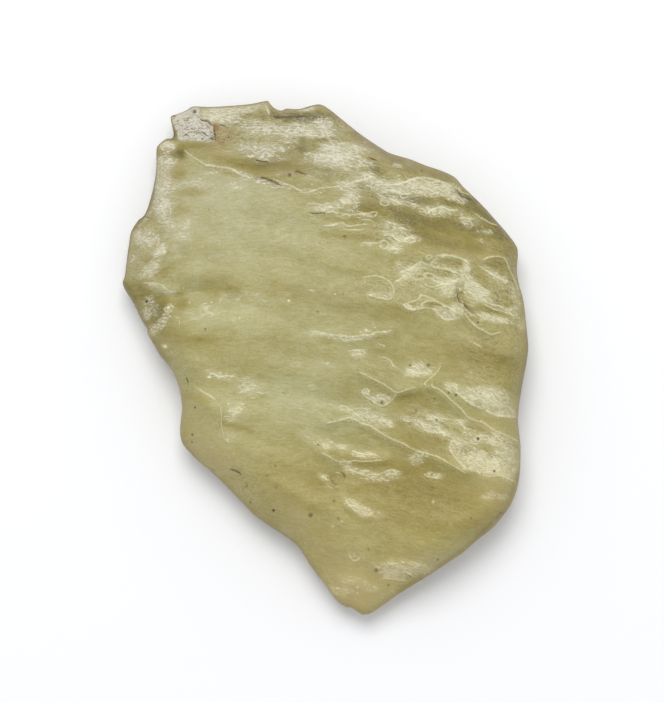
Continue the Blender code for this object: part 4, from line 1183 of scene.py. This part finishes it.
def dot_channels(x, y, dots, channels):
    """For each channel, the offset from its nearest dot over the dot's radius, and the dot's strength,
    which is zero out of its reach. A dot takes the first channel that has no dot near it."""
    kept = [[] for _ in range(channels)]
    for px, py, radius, strength in dots:
        (at_x, at_y), = on_slab((px, py))
        gaps = [min((np.hypot(at_x - dot[0], at_y - dot[1]) for dot in channel), default=np.inf)
                for channel in kept]
        free = next((k for k, gap in enumerate(gaps) if gap > 2 * DOT_REACH), int(np.argmax(gaps)))
        kept[free].append((at_x, at_y, radius * PIXEL_MM, strength))
    print("dots in each channel:", [len(channel) for channel in kept])
    made = []
    for channel in kept:
        middle_x, middle_y, radius, strength = np.array(channel).T
        away = np.hypot(x[:, None] - middle_x, y[:, None] - middle_y)
        nearest = away.argmin(axis=1)
        rows = np.arange(x.size)
        strengths = np.where(away[rows, nearest] < DOT_REACH, strength[nearest], 0.0)
        over_x, over_y = (x - middle_x[nearest]) / radius[nearest], (y - middle_y[nearest]) / radius[nearest]
        made.append(np.column_stack([over_x, over_y, strengths]))
    return made


all_dots = PITS_PX + tuple((px, py, radius, -strength) for px, py, radius, strength in GLINTS_PX)
dot_places = dot_channels(upper_x, upper_y, all_dots, len(DOT_CHANNELS))

# %% [markdown]
# ## The mesh
#
# The two sheets and a strip between them make one closed body. The strip joins two cells of the upper
# sheet's border to one of the lower sheet's, so it is made of triangles.

# %% One closed body
def border_walk(cells, first):
    """The sheet's border points in order, anticlockwise seen from above."""
    steps = np.arange(cells)
    i = np.concatenate([np.full(cells, cells), cells - steps, np.zeros(cells, int), steps])
    j = np.concatenate([steps, np.full(cells, cells), cells - steps, np.zeros(cells, int)])
    return first + i * (cells + 1) + j


def sheet_faces(cells, first):
    """The sheet's quads, with their corners anticlockwise seen from above."""
    i, j = (grid.ravel() for grid in np.meshgrid(np.arange(cells), np.arange(cells), indexing="ij"))
    corner = first + i * (cells + 1) + j
    return np.column_stack([corner, corner + cells + 1, corner + cells + 2, corner + 1])


rim_of_upper = border_walk(UPPER_CELLS, 0)
rim_of_lower = border_walk(LOWER_CELLS, upper_x.size)
first, middle, last = rim_of_upper[0::2], rim_of_upper[1::2], np.roll(rim_of_upper[0::2], -1)
under, following = rim_of_lower, np.roll(rim_of_lower, -1)
strip = np.vstack([
    np.column_stack([first, under, middle]),
    np.column_stack([middle, under, following]),
    np.column_stack([middle, following, last])])
quads = np.vstack([sheet_faces(UPPER_CELLS, 0), sheet_faces(LOWER_CELLS, upper_x.size)[:, ::-1]])
points = np.vstack([
    np.column_stack([upper_x, upper_y, upper_z]), np.column_stack([lower_x, lower_y, lower_z])])
middle_of_box = (points[:, :2].min(axis=0) + points[:, :2].max(axis=0)) / 2
points[:, :2] -= middle_of_box

glass_mesh = bpy.data.meshes.new("desert glass")
glass_mesh.from_pydata((points * MM).tolist(), [], quads.tolist() + strip.tolist())
glass_mesh.validate()
glass_mesh.shade_smooth()
slab = bpy.data.objects.new("glass_slab", glass_mesh)
bpy.context.scene.collection.objects.link(slab)
print("slab:", 2 * len(quads) + len(strip), "triangles, box", np.round(np.ptp(points, axis=0), 2), "mm")

# %% [markdown]
# Everything measured so far now goes onto the mesh's points as named values. An image laid over the slab
# could carry it too, but it would need an unwrapped surface and would blur where the slab turns down.
# Nothing is known about the underside, so it gets noise for its frost and tone, and plain values.

# %% What each point knows
WIND_BENDS = (0.55, 0.30)
BEND_SIZE = (1.5, 1.2)
BEND_SEEDS = (61, 62)
UNDERSIDE_BLUSH = 0.1
UNDERSIDE_CELLS = 0.3


def give_points(name, upper_values, lower_values):
    """Writes a value, or a row of three, for every point of the mesh, upper sheet first."""
    values = np.concatenate([np.asarray(upper_values, float), np.asarray(lower_values, float)])
    is_vector = values.ndim == 2
    layer = glass_mesh.attributes.new(name, "FLOAT_VECTOR" if is_vector else "FLOAT", "POINT")
    layer.data.foreach_set("vector" if is_vector else "value", values.ravel())


def bent_wind(x, y, u, v, z):
    """Coordinates along and across the wind and up, with the first two bent by noise."""
    a, b = x / BEND_SIZE[0], y / BEND_SIZE[1]
    bent_u, bent_v = (value + bend * clouds(a, b, seed, octaves=2)
                      for value, bend, seed in zip((u, v), WIND_BENDS, BEND_SEEDS))
    return np.column_stack([bent_u, bent_v, z])


nothing = np.zeros(lower_x.size)
give_points("wind", bent_wind(upper_x, upper_y, upper_u, upper_v, upper_z),
            bent_wind(lower_x, lower_y, lower_u, lower_v, lower_z))
for name, rows in (("pale_lines_a", pale_distances[:3]), ("pale_lines_b", pale_distances[3:])):
    give_points(name, rows.T, np.full((lower_x.size, 3), FAR_AWAY))
give_points("crack_and_shade_distance", crack_and_shade_distances[0], nothing + FAR_AWAY)
give_points("frost", upper_frost, lower_frost)
give_points("tone", upper_tone_and_shade, lower_tone)
give_points("blush", upper_blush, nothing + UNDERSIDE_BLUSH)
give_points("stain", upper_stain, nothing)
give_points("cells", upper_cells, nothing + UNDERSIDE_CELLS)
give_points("white_face", upper_white, nothing + FAR_OUTSIDE)
give_points("inside_rim", upper_inside, lower_inside)
# How strongly the painted shade at the rim's edge shows at each point.
give_points("rim_edge_shade", rim_edge_shade_share(upper_x, upper_y), nothing)
for name, places in zip(DOT_CHANNELS, dot_places):
    give_points(name, places, np.tile([FAR_AWAY, FAR_AWAY, 0.0], (lower_x.size, 1)))
print("attributes:", ", ".join(sorted(a.name for a in glass_mesh.attributes if not a.name.startswith("."))))

# %% [markdown]
# ## The glass
#
# Light passes some way into this glass and comes back tinted, and it also scatters at the worn surface.
# So the shader is part clear glass, with a body that absorbs blue, and part diffuse colour. A subsurface
# shader would scatter better, but this mixture keeps its look in other programs too. The nodes are added
# by a few helpers, so that a cell reads as a recipe.

# %% Helpers for nodes
glass = bpy.data.materials.new("worn desert glass")
glass.use_nodes = True
nodes, links = glass.node_tree.nodes, glass.node_tree.links
nodes.clear()
GLASS_PALENESS = 1.08


def add(kind, inputs, output=0, **settings):
    """Adds a node with these settings. An input is linked if it gets a socket, and is otherwise set."""
    made = nodes.new(kind)
    for name, value in settings.items():
        setattr(made, name, value)
    for key, value in inputs.items():
        if isinstance(value, bpy.types.NodeSocket):
            links.new(value, made.inputs[key])
        else:
            made.inputs[key].default_value = value
    return made.outputs[output]


def calc(operation, a, b=0.0):
    """One sum with a Math node."""
    return add("ShaderNodeMath", {0: a, 1: b}, operation=operation)


def weighted(terms, start=0.0):
    """Start plus each value times its weight."""
    total = start
    for value, weight in terms:
        total = add("ShaderNodeMath", {0: value, 1: weight, 2: total}, operation="MULTIPLY_ADD")
    return total


def ramp(value, low, high, to_low=0.0, to_high=1.0):
    """A smooth step from one number to another as the value goes from low to high."""
    inputs = {"Value": value, "From Min": low, "From Max": high, "To Min": to_low, "To Max": to_high}
    return add("ShaderNodeMapRange", inputs, interpolation_type="SMOOTHSTEP")


def point_value(name, output="Fac"):
    """What the mesh's points hold under this name."""
    return add("ShaderNodeAttribute", {}, output, attribute_name=name)


def counted_in(size, place):
    """Coordinates counted in lumps of this size, in millimetres along each axis."""
    return add("ShaderNodeVectorMath", {0: place, 1: tuple(1 / s for s in size)}, operation="MULTIPLY")


def noise(place, size, detail, roughness):
    """Noise with lumps of this size, in millimetres along each axis."""
    inputs = {"Vector": counted_in(size, place), "Scale": 1.0, "Detail": detail, "Roughness": roughness}
    return add("ShaderNodeTexNoise", inputs)


def colour(red, green, blue):
    """A colour as a screen shows it, 0 to 255, made linear for the shader and a little paler, because the
    clear share of the glass takes some light away."""
    screen = np.array([red, green, blue]) / 255
    linear = np.where(screen <= 0.04045, screen / 12.92, ((screen + 0.055) / 1.055) ** 2.4)
    return (*(linear * GLASS_PALENESS).tolist(), 1.0)


def blend(share, under, over):
    """One colour over another."""
    return add("ShaderNodeMix", {0: share, 6: under, 7: over}, output=2, data_type="RGBA")


print("empty node tree:", len(nodes), "nodes")

# %% [markdown]
# Two sets of coordinates place everything. One gives the spot on the slab in millimetres, and the other
# follows the wind, so noise that is stretched along it runs with the flutes. Three noises are enough for
# the whole finish: round grains, long fibres and short thin dashes.

# %% Noise that the finish is made of
GRAIN_SIZE = (0.34, 0.34, 0.34)
FIBRE_SIZE = (1.40, 0.27, 0.5)
DASH_SIZE = (0.75, 0.15, 0.5)
object_place = nodes.new("ShaderNodeTexCoord").outputs["Object"]
spot = add("ShaderNodeMapping", {
    "Vector": object_place, "Location": (*middle_of_box, 0.0), "Scale": (1 / MM, 1 / MM, 1 / MM)})
wind = point_value("wind", "Vector")
grain = noise(spot, GRAIN_SIZE, detail=2, roughness=0.7)
fibres = noise(wind, FIBRE_SIZE, detail=2, roughness=0.7)
dashes = noise(wind, DASH_SIZE, detail=1, roughness=0.6)
unevenness = weighted([(fibres, 0.6), (grain, 0.4)], -0.5)
print("grains", GRAIN_SIZE[:2], "fibres", FIBRE_SIZE[:2], "dashes", DASH_SIZE[:2], "mm")

# %% [markdown]
# Frost is crinkled like fine skin. The places where noise passes its middle value form a net of thin
# curved lines, which is just that pattern. Where sand has cut small cells, their sharp rims are white. A
# cell pattern gives those, and it is bent with the wind coordinates, so no two cells are alike. The
# dashes break the frost into flecks, and leave short dark and light strokes where the surface is busy.

# %% Frost, crinkles and cells
CELL_SIZE = (1.6, 0.95, 1.0)
crinkles = ramp(calc("ABSOLUTE", calc("SUBTRACT", fibres, 0.5)), 0.0, 0.085, 1.0, 0.0)
to_cell_rim = add("ShaderNodeTexVoronoi", {"Vector": counted_in(CELL_SIZE, wind), "Scale": 1.0},
                  feature="DISTANCE_TO_EDGE", voronoi_dimensions="2D")
busy, inside_rim = point_value("cells"), point_value("inside_rim")
cell_rims = calc("MULTIPLY", ramp(to_cell_rim, 0.0, 0.13, 1.0, 0.0), busy)
cells = calc("MULTIPLY", cell_rims, ramp(fibres, 0.36, 0.52))
likely = calc("MULTIPLY", point_value("frost"), ramp(inside_rim, 0.05, 0.45, 0.35, 1.0))
rough = weighted([(dashes, 0.50), (unevenness, 0.85)], -0.25)
flecks = ramp(weighted([(rough, ramp(likely, 0.10, 0.50, 1.5, 5.6))], likely), 0.08, 1.25)
crinkled = calc("MULTIPLY", flecks, weighted([(crinkles, 0.24)], 0.80))
frost = calc("MAXIMUM", ramp(likely, 0.05, 0.90, 0.0, 0.30), crinkled)
frosty = calc("MAXIMUM", busy, calc("MULTIPLY", frost, 0.7))
dark_dashes = calc("MULTIPLY", ramp(dashes, 0.28, 0.42, 1.0, 0.0), frosty)
light_dashes = calc("MULTIPLY", ramp(dashes, 0.56, 0.70), frosty)
print("cells", CELL_SIZE[:2], "mm;", len(nodes), "nodes so far")

# %% [markdown]
# Each kind of mark becomes a mask from 0 to 1. The points hold only smooth distances, which are right
# between the points too, and a ramp turns a distance into a sharp edge at any size. Noise is added to the
# distance first, because a clean edge would look printed.

# %% Lines, pits, rim and the white face
LINE_FADE = 1.1
CRACK_AND_SHADE_CORE = 0.35


def crisp_line(distance, core):
    """A line with an uneven edge, full out to its core and gone where it has faded past that. All three
    are counted in half widths."""
    return ramp(calc("ABSOLUTE", calc("ADD", distance, uneven)), core, core + LINE_FADE, 1.0, 0.0)


def three_values_of(vector):
    """The three numbers of a vector."""
    split = nodes.new("ShaderNodeSeparateXYZ")
    links.new(vector, split.inputs[0])
    return list(split.outputs)


def three_values(name):
    """The three values that the points hold under this name."""
    return three_values_of(point_value(name, "Vector"))


uneven = weighted([(grain, 2.2)], -1.1)
# Pale lines, partly painted highlight where the crests catch the light.
pale_lines = 0.0
for distance in three_values("pale_lines_a") + three_values("pale_lines_b"):
    pale_lines = calc("MAXIMUM", pale_lines, crisp_line(distance, 0.0))
pale_lines = calc("MULTIPLY", pale_lines, ramp(fibres, 0.34, 0.56, 0.5, 1.0))
# The cracks' mask also holds the three lines of painted shade.
cracks_and_shade_lines = crisp_line(point_value("crack_and_shade_distance"), CRACK_AND_SHADE_CORE)
cracks_and_shade_lines = calc("MULTIPLY", cracks_and_shade_lines, ramp(fibres, 0.36, 0.54, 0.55, 1.0))
pits = glints = 0.0
for channel in DOT_CHANNELS:
    along_x, along_y, strength = three_values(channel)
    squares = add("ShaderNodeMath", {0: along_x, 1: along_x, 2: calc("MULTIPLY", along_y, along_y)},
                  operation="MULTIPLY_ADD")
    shown = calc("MULTIPLY", strength, ramp(calc("SQRT", squares), 0.2, 1.3, 1.0, 0.0))
    pits, glints = calc("MAXIMUM", pits, shown), calc("MAXIMUM", glints, calc("MULTIPLY", shown, -1.0))
inside_face = weighted([(fibres, 0.8), (grain, 0.8)], calc("ADD", point_value("white_face"), -0.8))
white_face = ramp(inside_face, -0.15, 0.25)
stain = calc("MULTIPLY", point_value("stain"), ramp(unevenness, -0.10, 0.08, 0.20, 1.0))
at_rim = calc("MULTIPLY", ramp(inside_rim, 0.05, 1.0, 1.0, 0.0), ramp(unevenness, -0.15, 0.10, 0.45, 1.0))
# A thin dark line of painted shade just inside the rim.
rim_edge_shade = calc("MULTIPLY", ramp(inside_rim, 0.05, 0.34, 1.0, 0.0), point_value("rim_edge_shade"))
specks = calc("MULTIPLY", ramp(grain, 0.27, 0.40, 1.0, 0.0), busy)
print("masks:", len(nodes), "nodes so far")

# %% [markdown]
# The colours are layered like glazes, each by its mask: the tone of the body with its painted shade, the
# blush and the rim, frost with its dashes and specks, the white face, then lines that are partly painted
# highlight, stain, cracks with a few lines of painted shade, pits and glints, and last the thin dark line of
# painted shade where the glass meets the ground. A tint over all of it is cooler at the blunt end, warmer
# at the tip, and takes out some blue near the rim, as the photograph shows.

# %% Colour
TONES = (
    (0.0, (198, 196, 154)), (0.25, (184, 179, 130)), (0.5, (170, 161, 104)), (0.75, (156, 144, 82)),
    (1.0, (140, 128, 60)), (1.5, (106, 95, 38)))
# The pale line colour is partly painted highlight where the crests catch the light.
BLUSH, FROST, PALE_LINE = colour(190, 175, 122), colour(208, 204, 180), colour(224, 220, 184)
WHITE_BREAK, BREAK_SHADE = colour(190, 185, 162), colour(122, 112, 80)
# The deep crack colour also paints the three lines of painted shade.
CRACK_AND_SHADE_BROWN, PIT, SPECK = colour(78, 60, 20), colour(40, 34, 18), colour(112, 97, 42)
IRON_STAIN, RIM_OCHRE, GLINT = colour(150, 110, 64), colour(172, 144, 80), colour(236, 232, 190)
# Colour of the painted shade along the rim's edge.
EDGE_SHADE = colour(78, 69, 42)
WARM_TINT, NO_TINT, COOL_TINT = (1.05, 1.00, 0.86, 1.0), (1.0, 0.995, 0.94, 1.0), (0.970, 0.975, 1.07, 1.0)
RIM_TINT = (1.00, 0.98, 0.80, 1.0)

# The tone from the points, with its painted shade, made uneven by noise.
tone = weighted([(unevenness, weighted([(busy, 3.6)], 1.2))], point_value("tone"))
body = nodes.new("ShaderNodeValToRGB")
links.new(calc("DIVIDE", tone, TONES[-1][0]), body.inputs[0])
for index, (position, screen) in enumerate(TONES):
    stop = body.color_ramp.elements[index] if index < 2 else body.color_ramp.elements.new(position)
    stop.position, stop.color = position / TONES[-1][0], colour(*screen)
white_break = blend(ramp(unevenness, -0.15, 0.02), BREAK_SHADE, WHITE_BREAK)
# The thin line of painted shade at the rim, made a little uneven.
painted_edge_shade = calc("MULTIPLY", rim_edge_shade, ramp(unevenness, -0.20, 0.16, 0.80, 0.40))

layered = body.outputs[0]
for mask, strength, paint in (
        (point_value("blush"), 0.75, BLUSH),
        (at_rim, 0.60, RIM_OCHRE),
        (frost, 0.88, FROST),
        (cells, 0.40, FROST),
        (calc("MULTIPLY", crinkles, busy), 0.30, FROST),
        (light_dashes, 0.45, PALE_LINE),
        (dark_dashes, 0.34, SPECK),
        (specks, 0.55, SPECK),
        (white_face, 1.0, white_break),
        (pale_lines, 0.80, PALE_LINE),
        (stain, 1.0, IRON_STAIN),
        (cracks_and_shade_lines, 0.85, CRACK_AND_SHADE_BROWN),
        (pits, 1.0, PIT),
        (glints, 1.0, GLINT),
        (painted_edge_shade, 1.0, EDGE_SHADE)):
    layered = blend(calc("MULTIPLY", mask, strength), layered, paint)

along_x, along_y, _ = three_values_of(spot)
to_blunt_end = weighted([(along_x, -0.5)], along_y)
warm_or_plain = blend(ramp(along_y, -26.0, -4.0), WARM_TINT, NO_TINT)
tint = blend(ramp(to_blunt_end, 8.0, 36.0), warm_or_plain, COOL_TINT)
near_edge = ramp(inside_rim, 0.2, 2.2, 0.65, 0.0)
tint = blend(calc("MULTIPLY", near_edge, ramp(to_blunt_end, 4.0, 30.0, 1.0, 0.2)), tint, RIM_TINT)
layered = add("ShaderNodeMix", {0: 1.0, 6: layered, 7: tint}, 2, data_type="RGBA", blend_type="MULTIPLY")
print("colour:", len(nodes), "nodes so far")

# %% [markdown]
# Worn glass is matt, and most so where it is frosted, so the roughness and the share that is clear follow
# the frost. The finest relief could be cut into the mesh, but that would need millions of faces, so it is
# a bump. Inside, the glass absorbs blue most and red least, which tints the light that gets through.

# %% Relief, finish and body
IOR_OF_GLASS = 1.46
GLOSS = 0.25
GLASS_BODY = (0.88, 0.80, 0.46, 1.0)
BODY_DENSITY = 40.0
height_in_mm = weighted([(unevenness, weighted([(busy, 0.10)], 0.07))])
relief = add("ShaderNodeBump", {"Strength": 1.0, "Distance": MM, "Height": height_in_mm})
worn_roughness = weighted([(frost, 0.20), (grain, 0.20)], 0.38)
clear_share = calc("MULTIPLY", ramp(frost, 0.0, 1.0, 0.32, 0.14), ramp(white_face, 0.0, 1.0, 1.0, 0.3))
surface = nodes.new("ShaderNodeBsdfPrincipled")
surface.inputs["IOR"].default_value = IOR_OF_GLASS
surface.inputs["Specular IOR Level"].default_value = GLOSS
for name, value in {"Base Color": layered, "Roughness": worn_roughness, "Transmission Weight": clear_share,
                    "Normal": relief}.items():
    links.new(value, surface.inputs[name])
absorbing = nodes.new("ShaderNodeVolumeAbsorption")
absorbing.inputs["Color"].default_value = GLASS_BODY
absorbing.inputs["Density"].default_value = BODY_DENSITY
output = nodes.new("ShaderNodeOutputMaterial")
links.new(surface.outputs[0], output.inputs["Surface"])
links.new(absorbing.outputs[0], output.inputs["Volume"])
glass_mesh.materials.append(glass)
print("worn desert glass:", len(nodes), "nodes")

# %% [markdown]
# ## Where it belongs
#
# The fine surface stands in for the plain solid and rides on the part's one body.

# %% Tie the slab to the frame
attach(slab, "root")
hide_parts("desert_glass")
print(slab.name, "rides on root, in place of desert_glass")

# %% [markdown]
# ## Light, floor and camera
#
# The photograph was taken on white, from straight above, with soft light from the top of the picture. A
# large lamp there gives the crests a lit and a shaded side, and a bright surround keeps the shadow pale.

# %% Floor and light
FLOOR_SIDE = 3.0
FLOOR_GREY = (0.82, 0.82, 0.82, 1.0)
SURROUND_COLOUR = (0.975, 0.99, 1.03, 1.0)
SURROUND_STRENGTH = 0.70
TOP_OF_PICTURE = (-0.10, 0.80, 1.6)
LAMP_DISTANCE = 0.8
LAMP_SIDE = 0.40
LAMP_WATTS = 4.3
floor_mesh = bpy.data.meshes.new("floor")
half = FLOOR_SIDE / 2
corners = [(-half, -half, 0), (half, -half, 0), (half, half, 0), (-half, half, 0)]
floor_mesh.from_pydata(corners, [], [(0, 1, 2, 3)])
floor = bpy.data.objects.new("floor", floor_mesh)
bpy.context.scene.collection.objects.link(floor)
pale = bpy.data.materials.new("pale floor")
pale.use_nodes = True
for name, value in {"Base Color": FLOOR_GREY, "Roughness": 0.9, "Specular IOR Level": 0.1}.items():
    pale.node_tree.nodes["Principled BSDF"].inputs[name].default_value = value
floor_mesh.materials.append(pale)

world = bpy.data.worlds.new("bright surround")
world.use_nodes = True
world.node_tree.nodes["Background"].inputs["Color"].default_value = SURROUND_COLOUR
world.node_tree.nodes["Background"].inputs["Strength"].default_value = SURROUND_STRENGTH
bpy.context.scene.world = world


def soft_lamp(name, toward, distance, size, power):
    """A square lamp that far from the slab in the given direction, facing it."""
    lamp = bpy.data.lights.new(name, "AREA")
    lamp.shape, lamp.size, lamp.energy = "SQUARE", size, power
    made = bpy.data.objects.new(name, lamp)
    place = Vector(toward).normalized() * distance
    made.location = place
    made.rotation_euler = (-place).to_track_quat("-Z", "Y").to_euler()
    bpy.context.scene.collection.objects.link(made)


soft_lamp("lamp at the top of the picture", TOP_OF_PICTURE, LAMP_DISTANCE, LAMP_SIDE, LAMP_WATTS)
print("a lamp of", LAMP_WATTS, "W over a floor", FLOOR_SIDE, "m wide")

# %% [markdown]
# The camera looks straight down. The picture is 702 pixels high, which is 105.3 mm at the slab's widest
# line, and a long lens keeps the top of the slab from looking wider than its rim.

# %% Camera
LENS_MM = 200.0
FILM_MM = 36.0
WIDEST_LINE_MM = 5.0
picture_high = PICTURE_PX[1] * PIXEL_MM
(centre_x, centre_y), = on_slab((PICTURE_PX[0] / 2, PICTURE_PX[1] / 2)) - middle_of_box
camera = bpy.data.objects.new("camera", bpy.data.cameras.new("camera"))
camera.data.lens = LENS_MM
camera.data.sensor_width = FILM_MM
camera.location = (centre_x * MM, centre_y * MM, (picture_high * LENS_MM / FILM_MM + WIDEST_LINE_MM) * MM)
bpy.context.scene.collection.objects.link(camera)
bpy.context.scene.camera = camera
bpy.context.scene.view_settings.view_transform = "Standard"
print("camera", round(camera.location.z, 3), "m up")
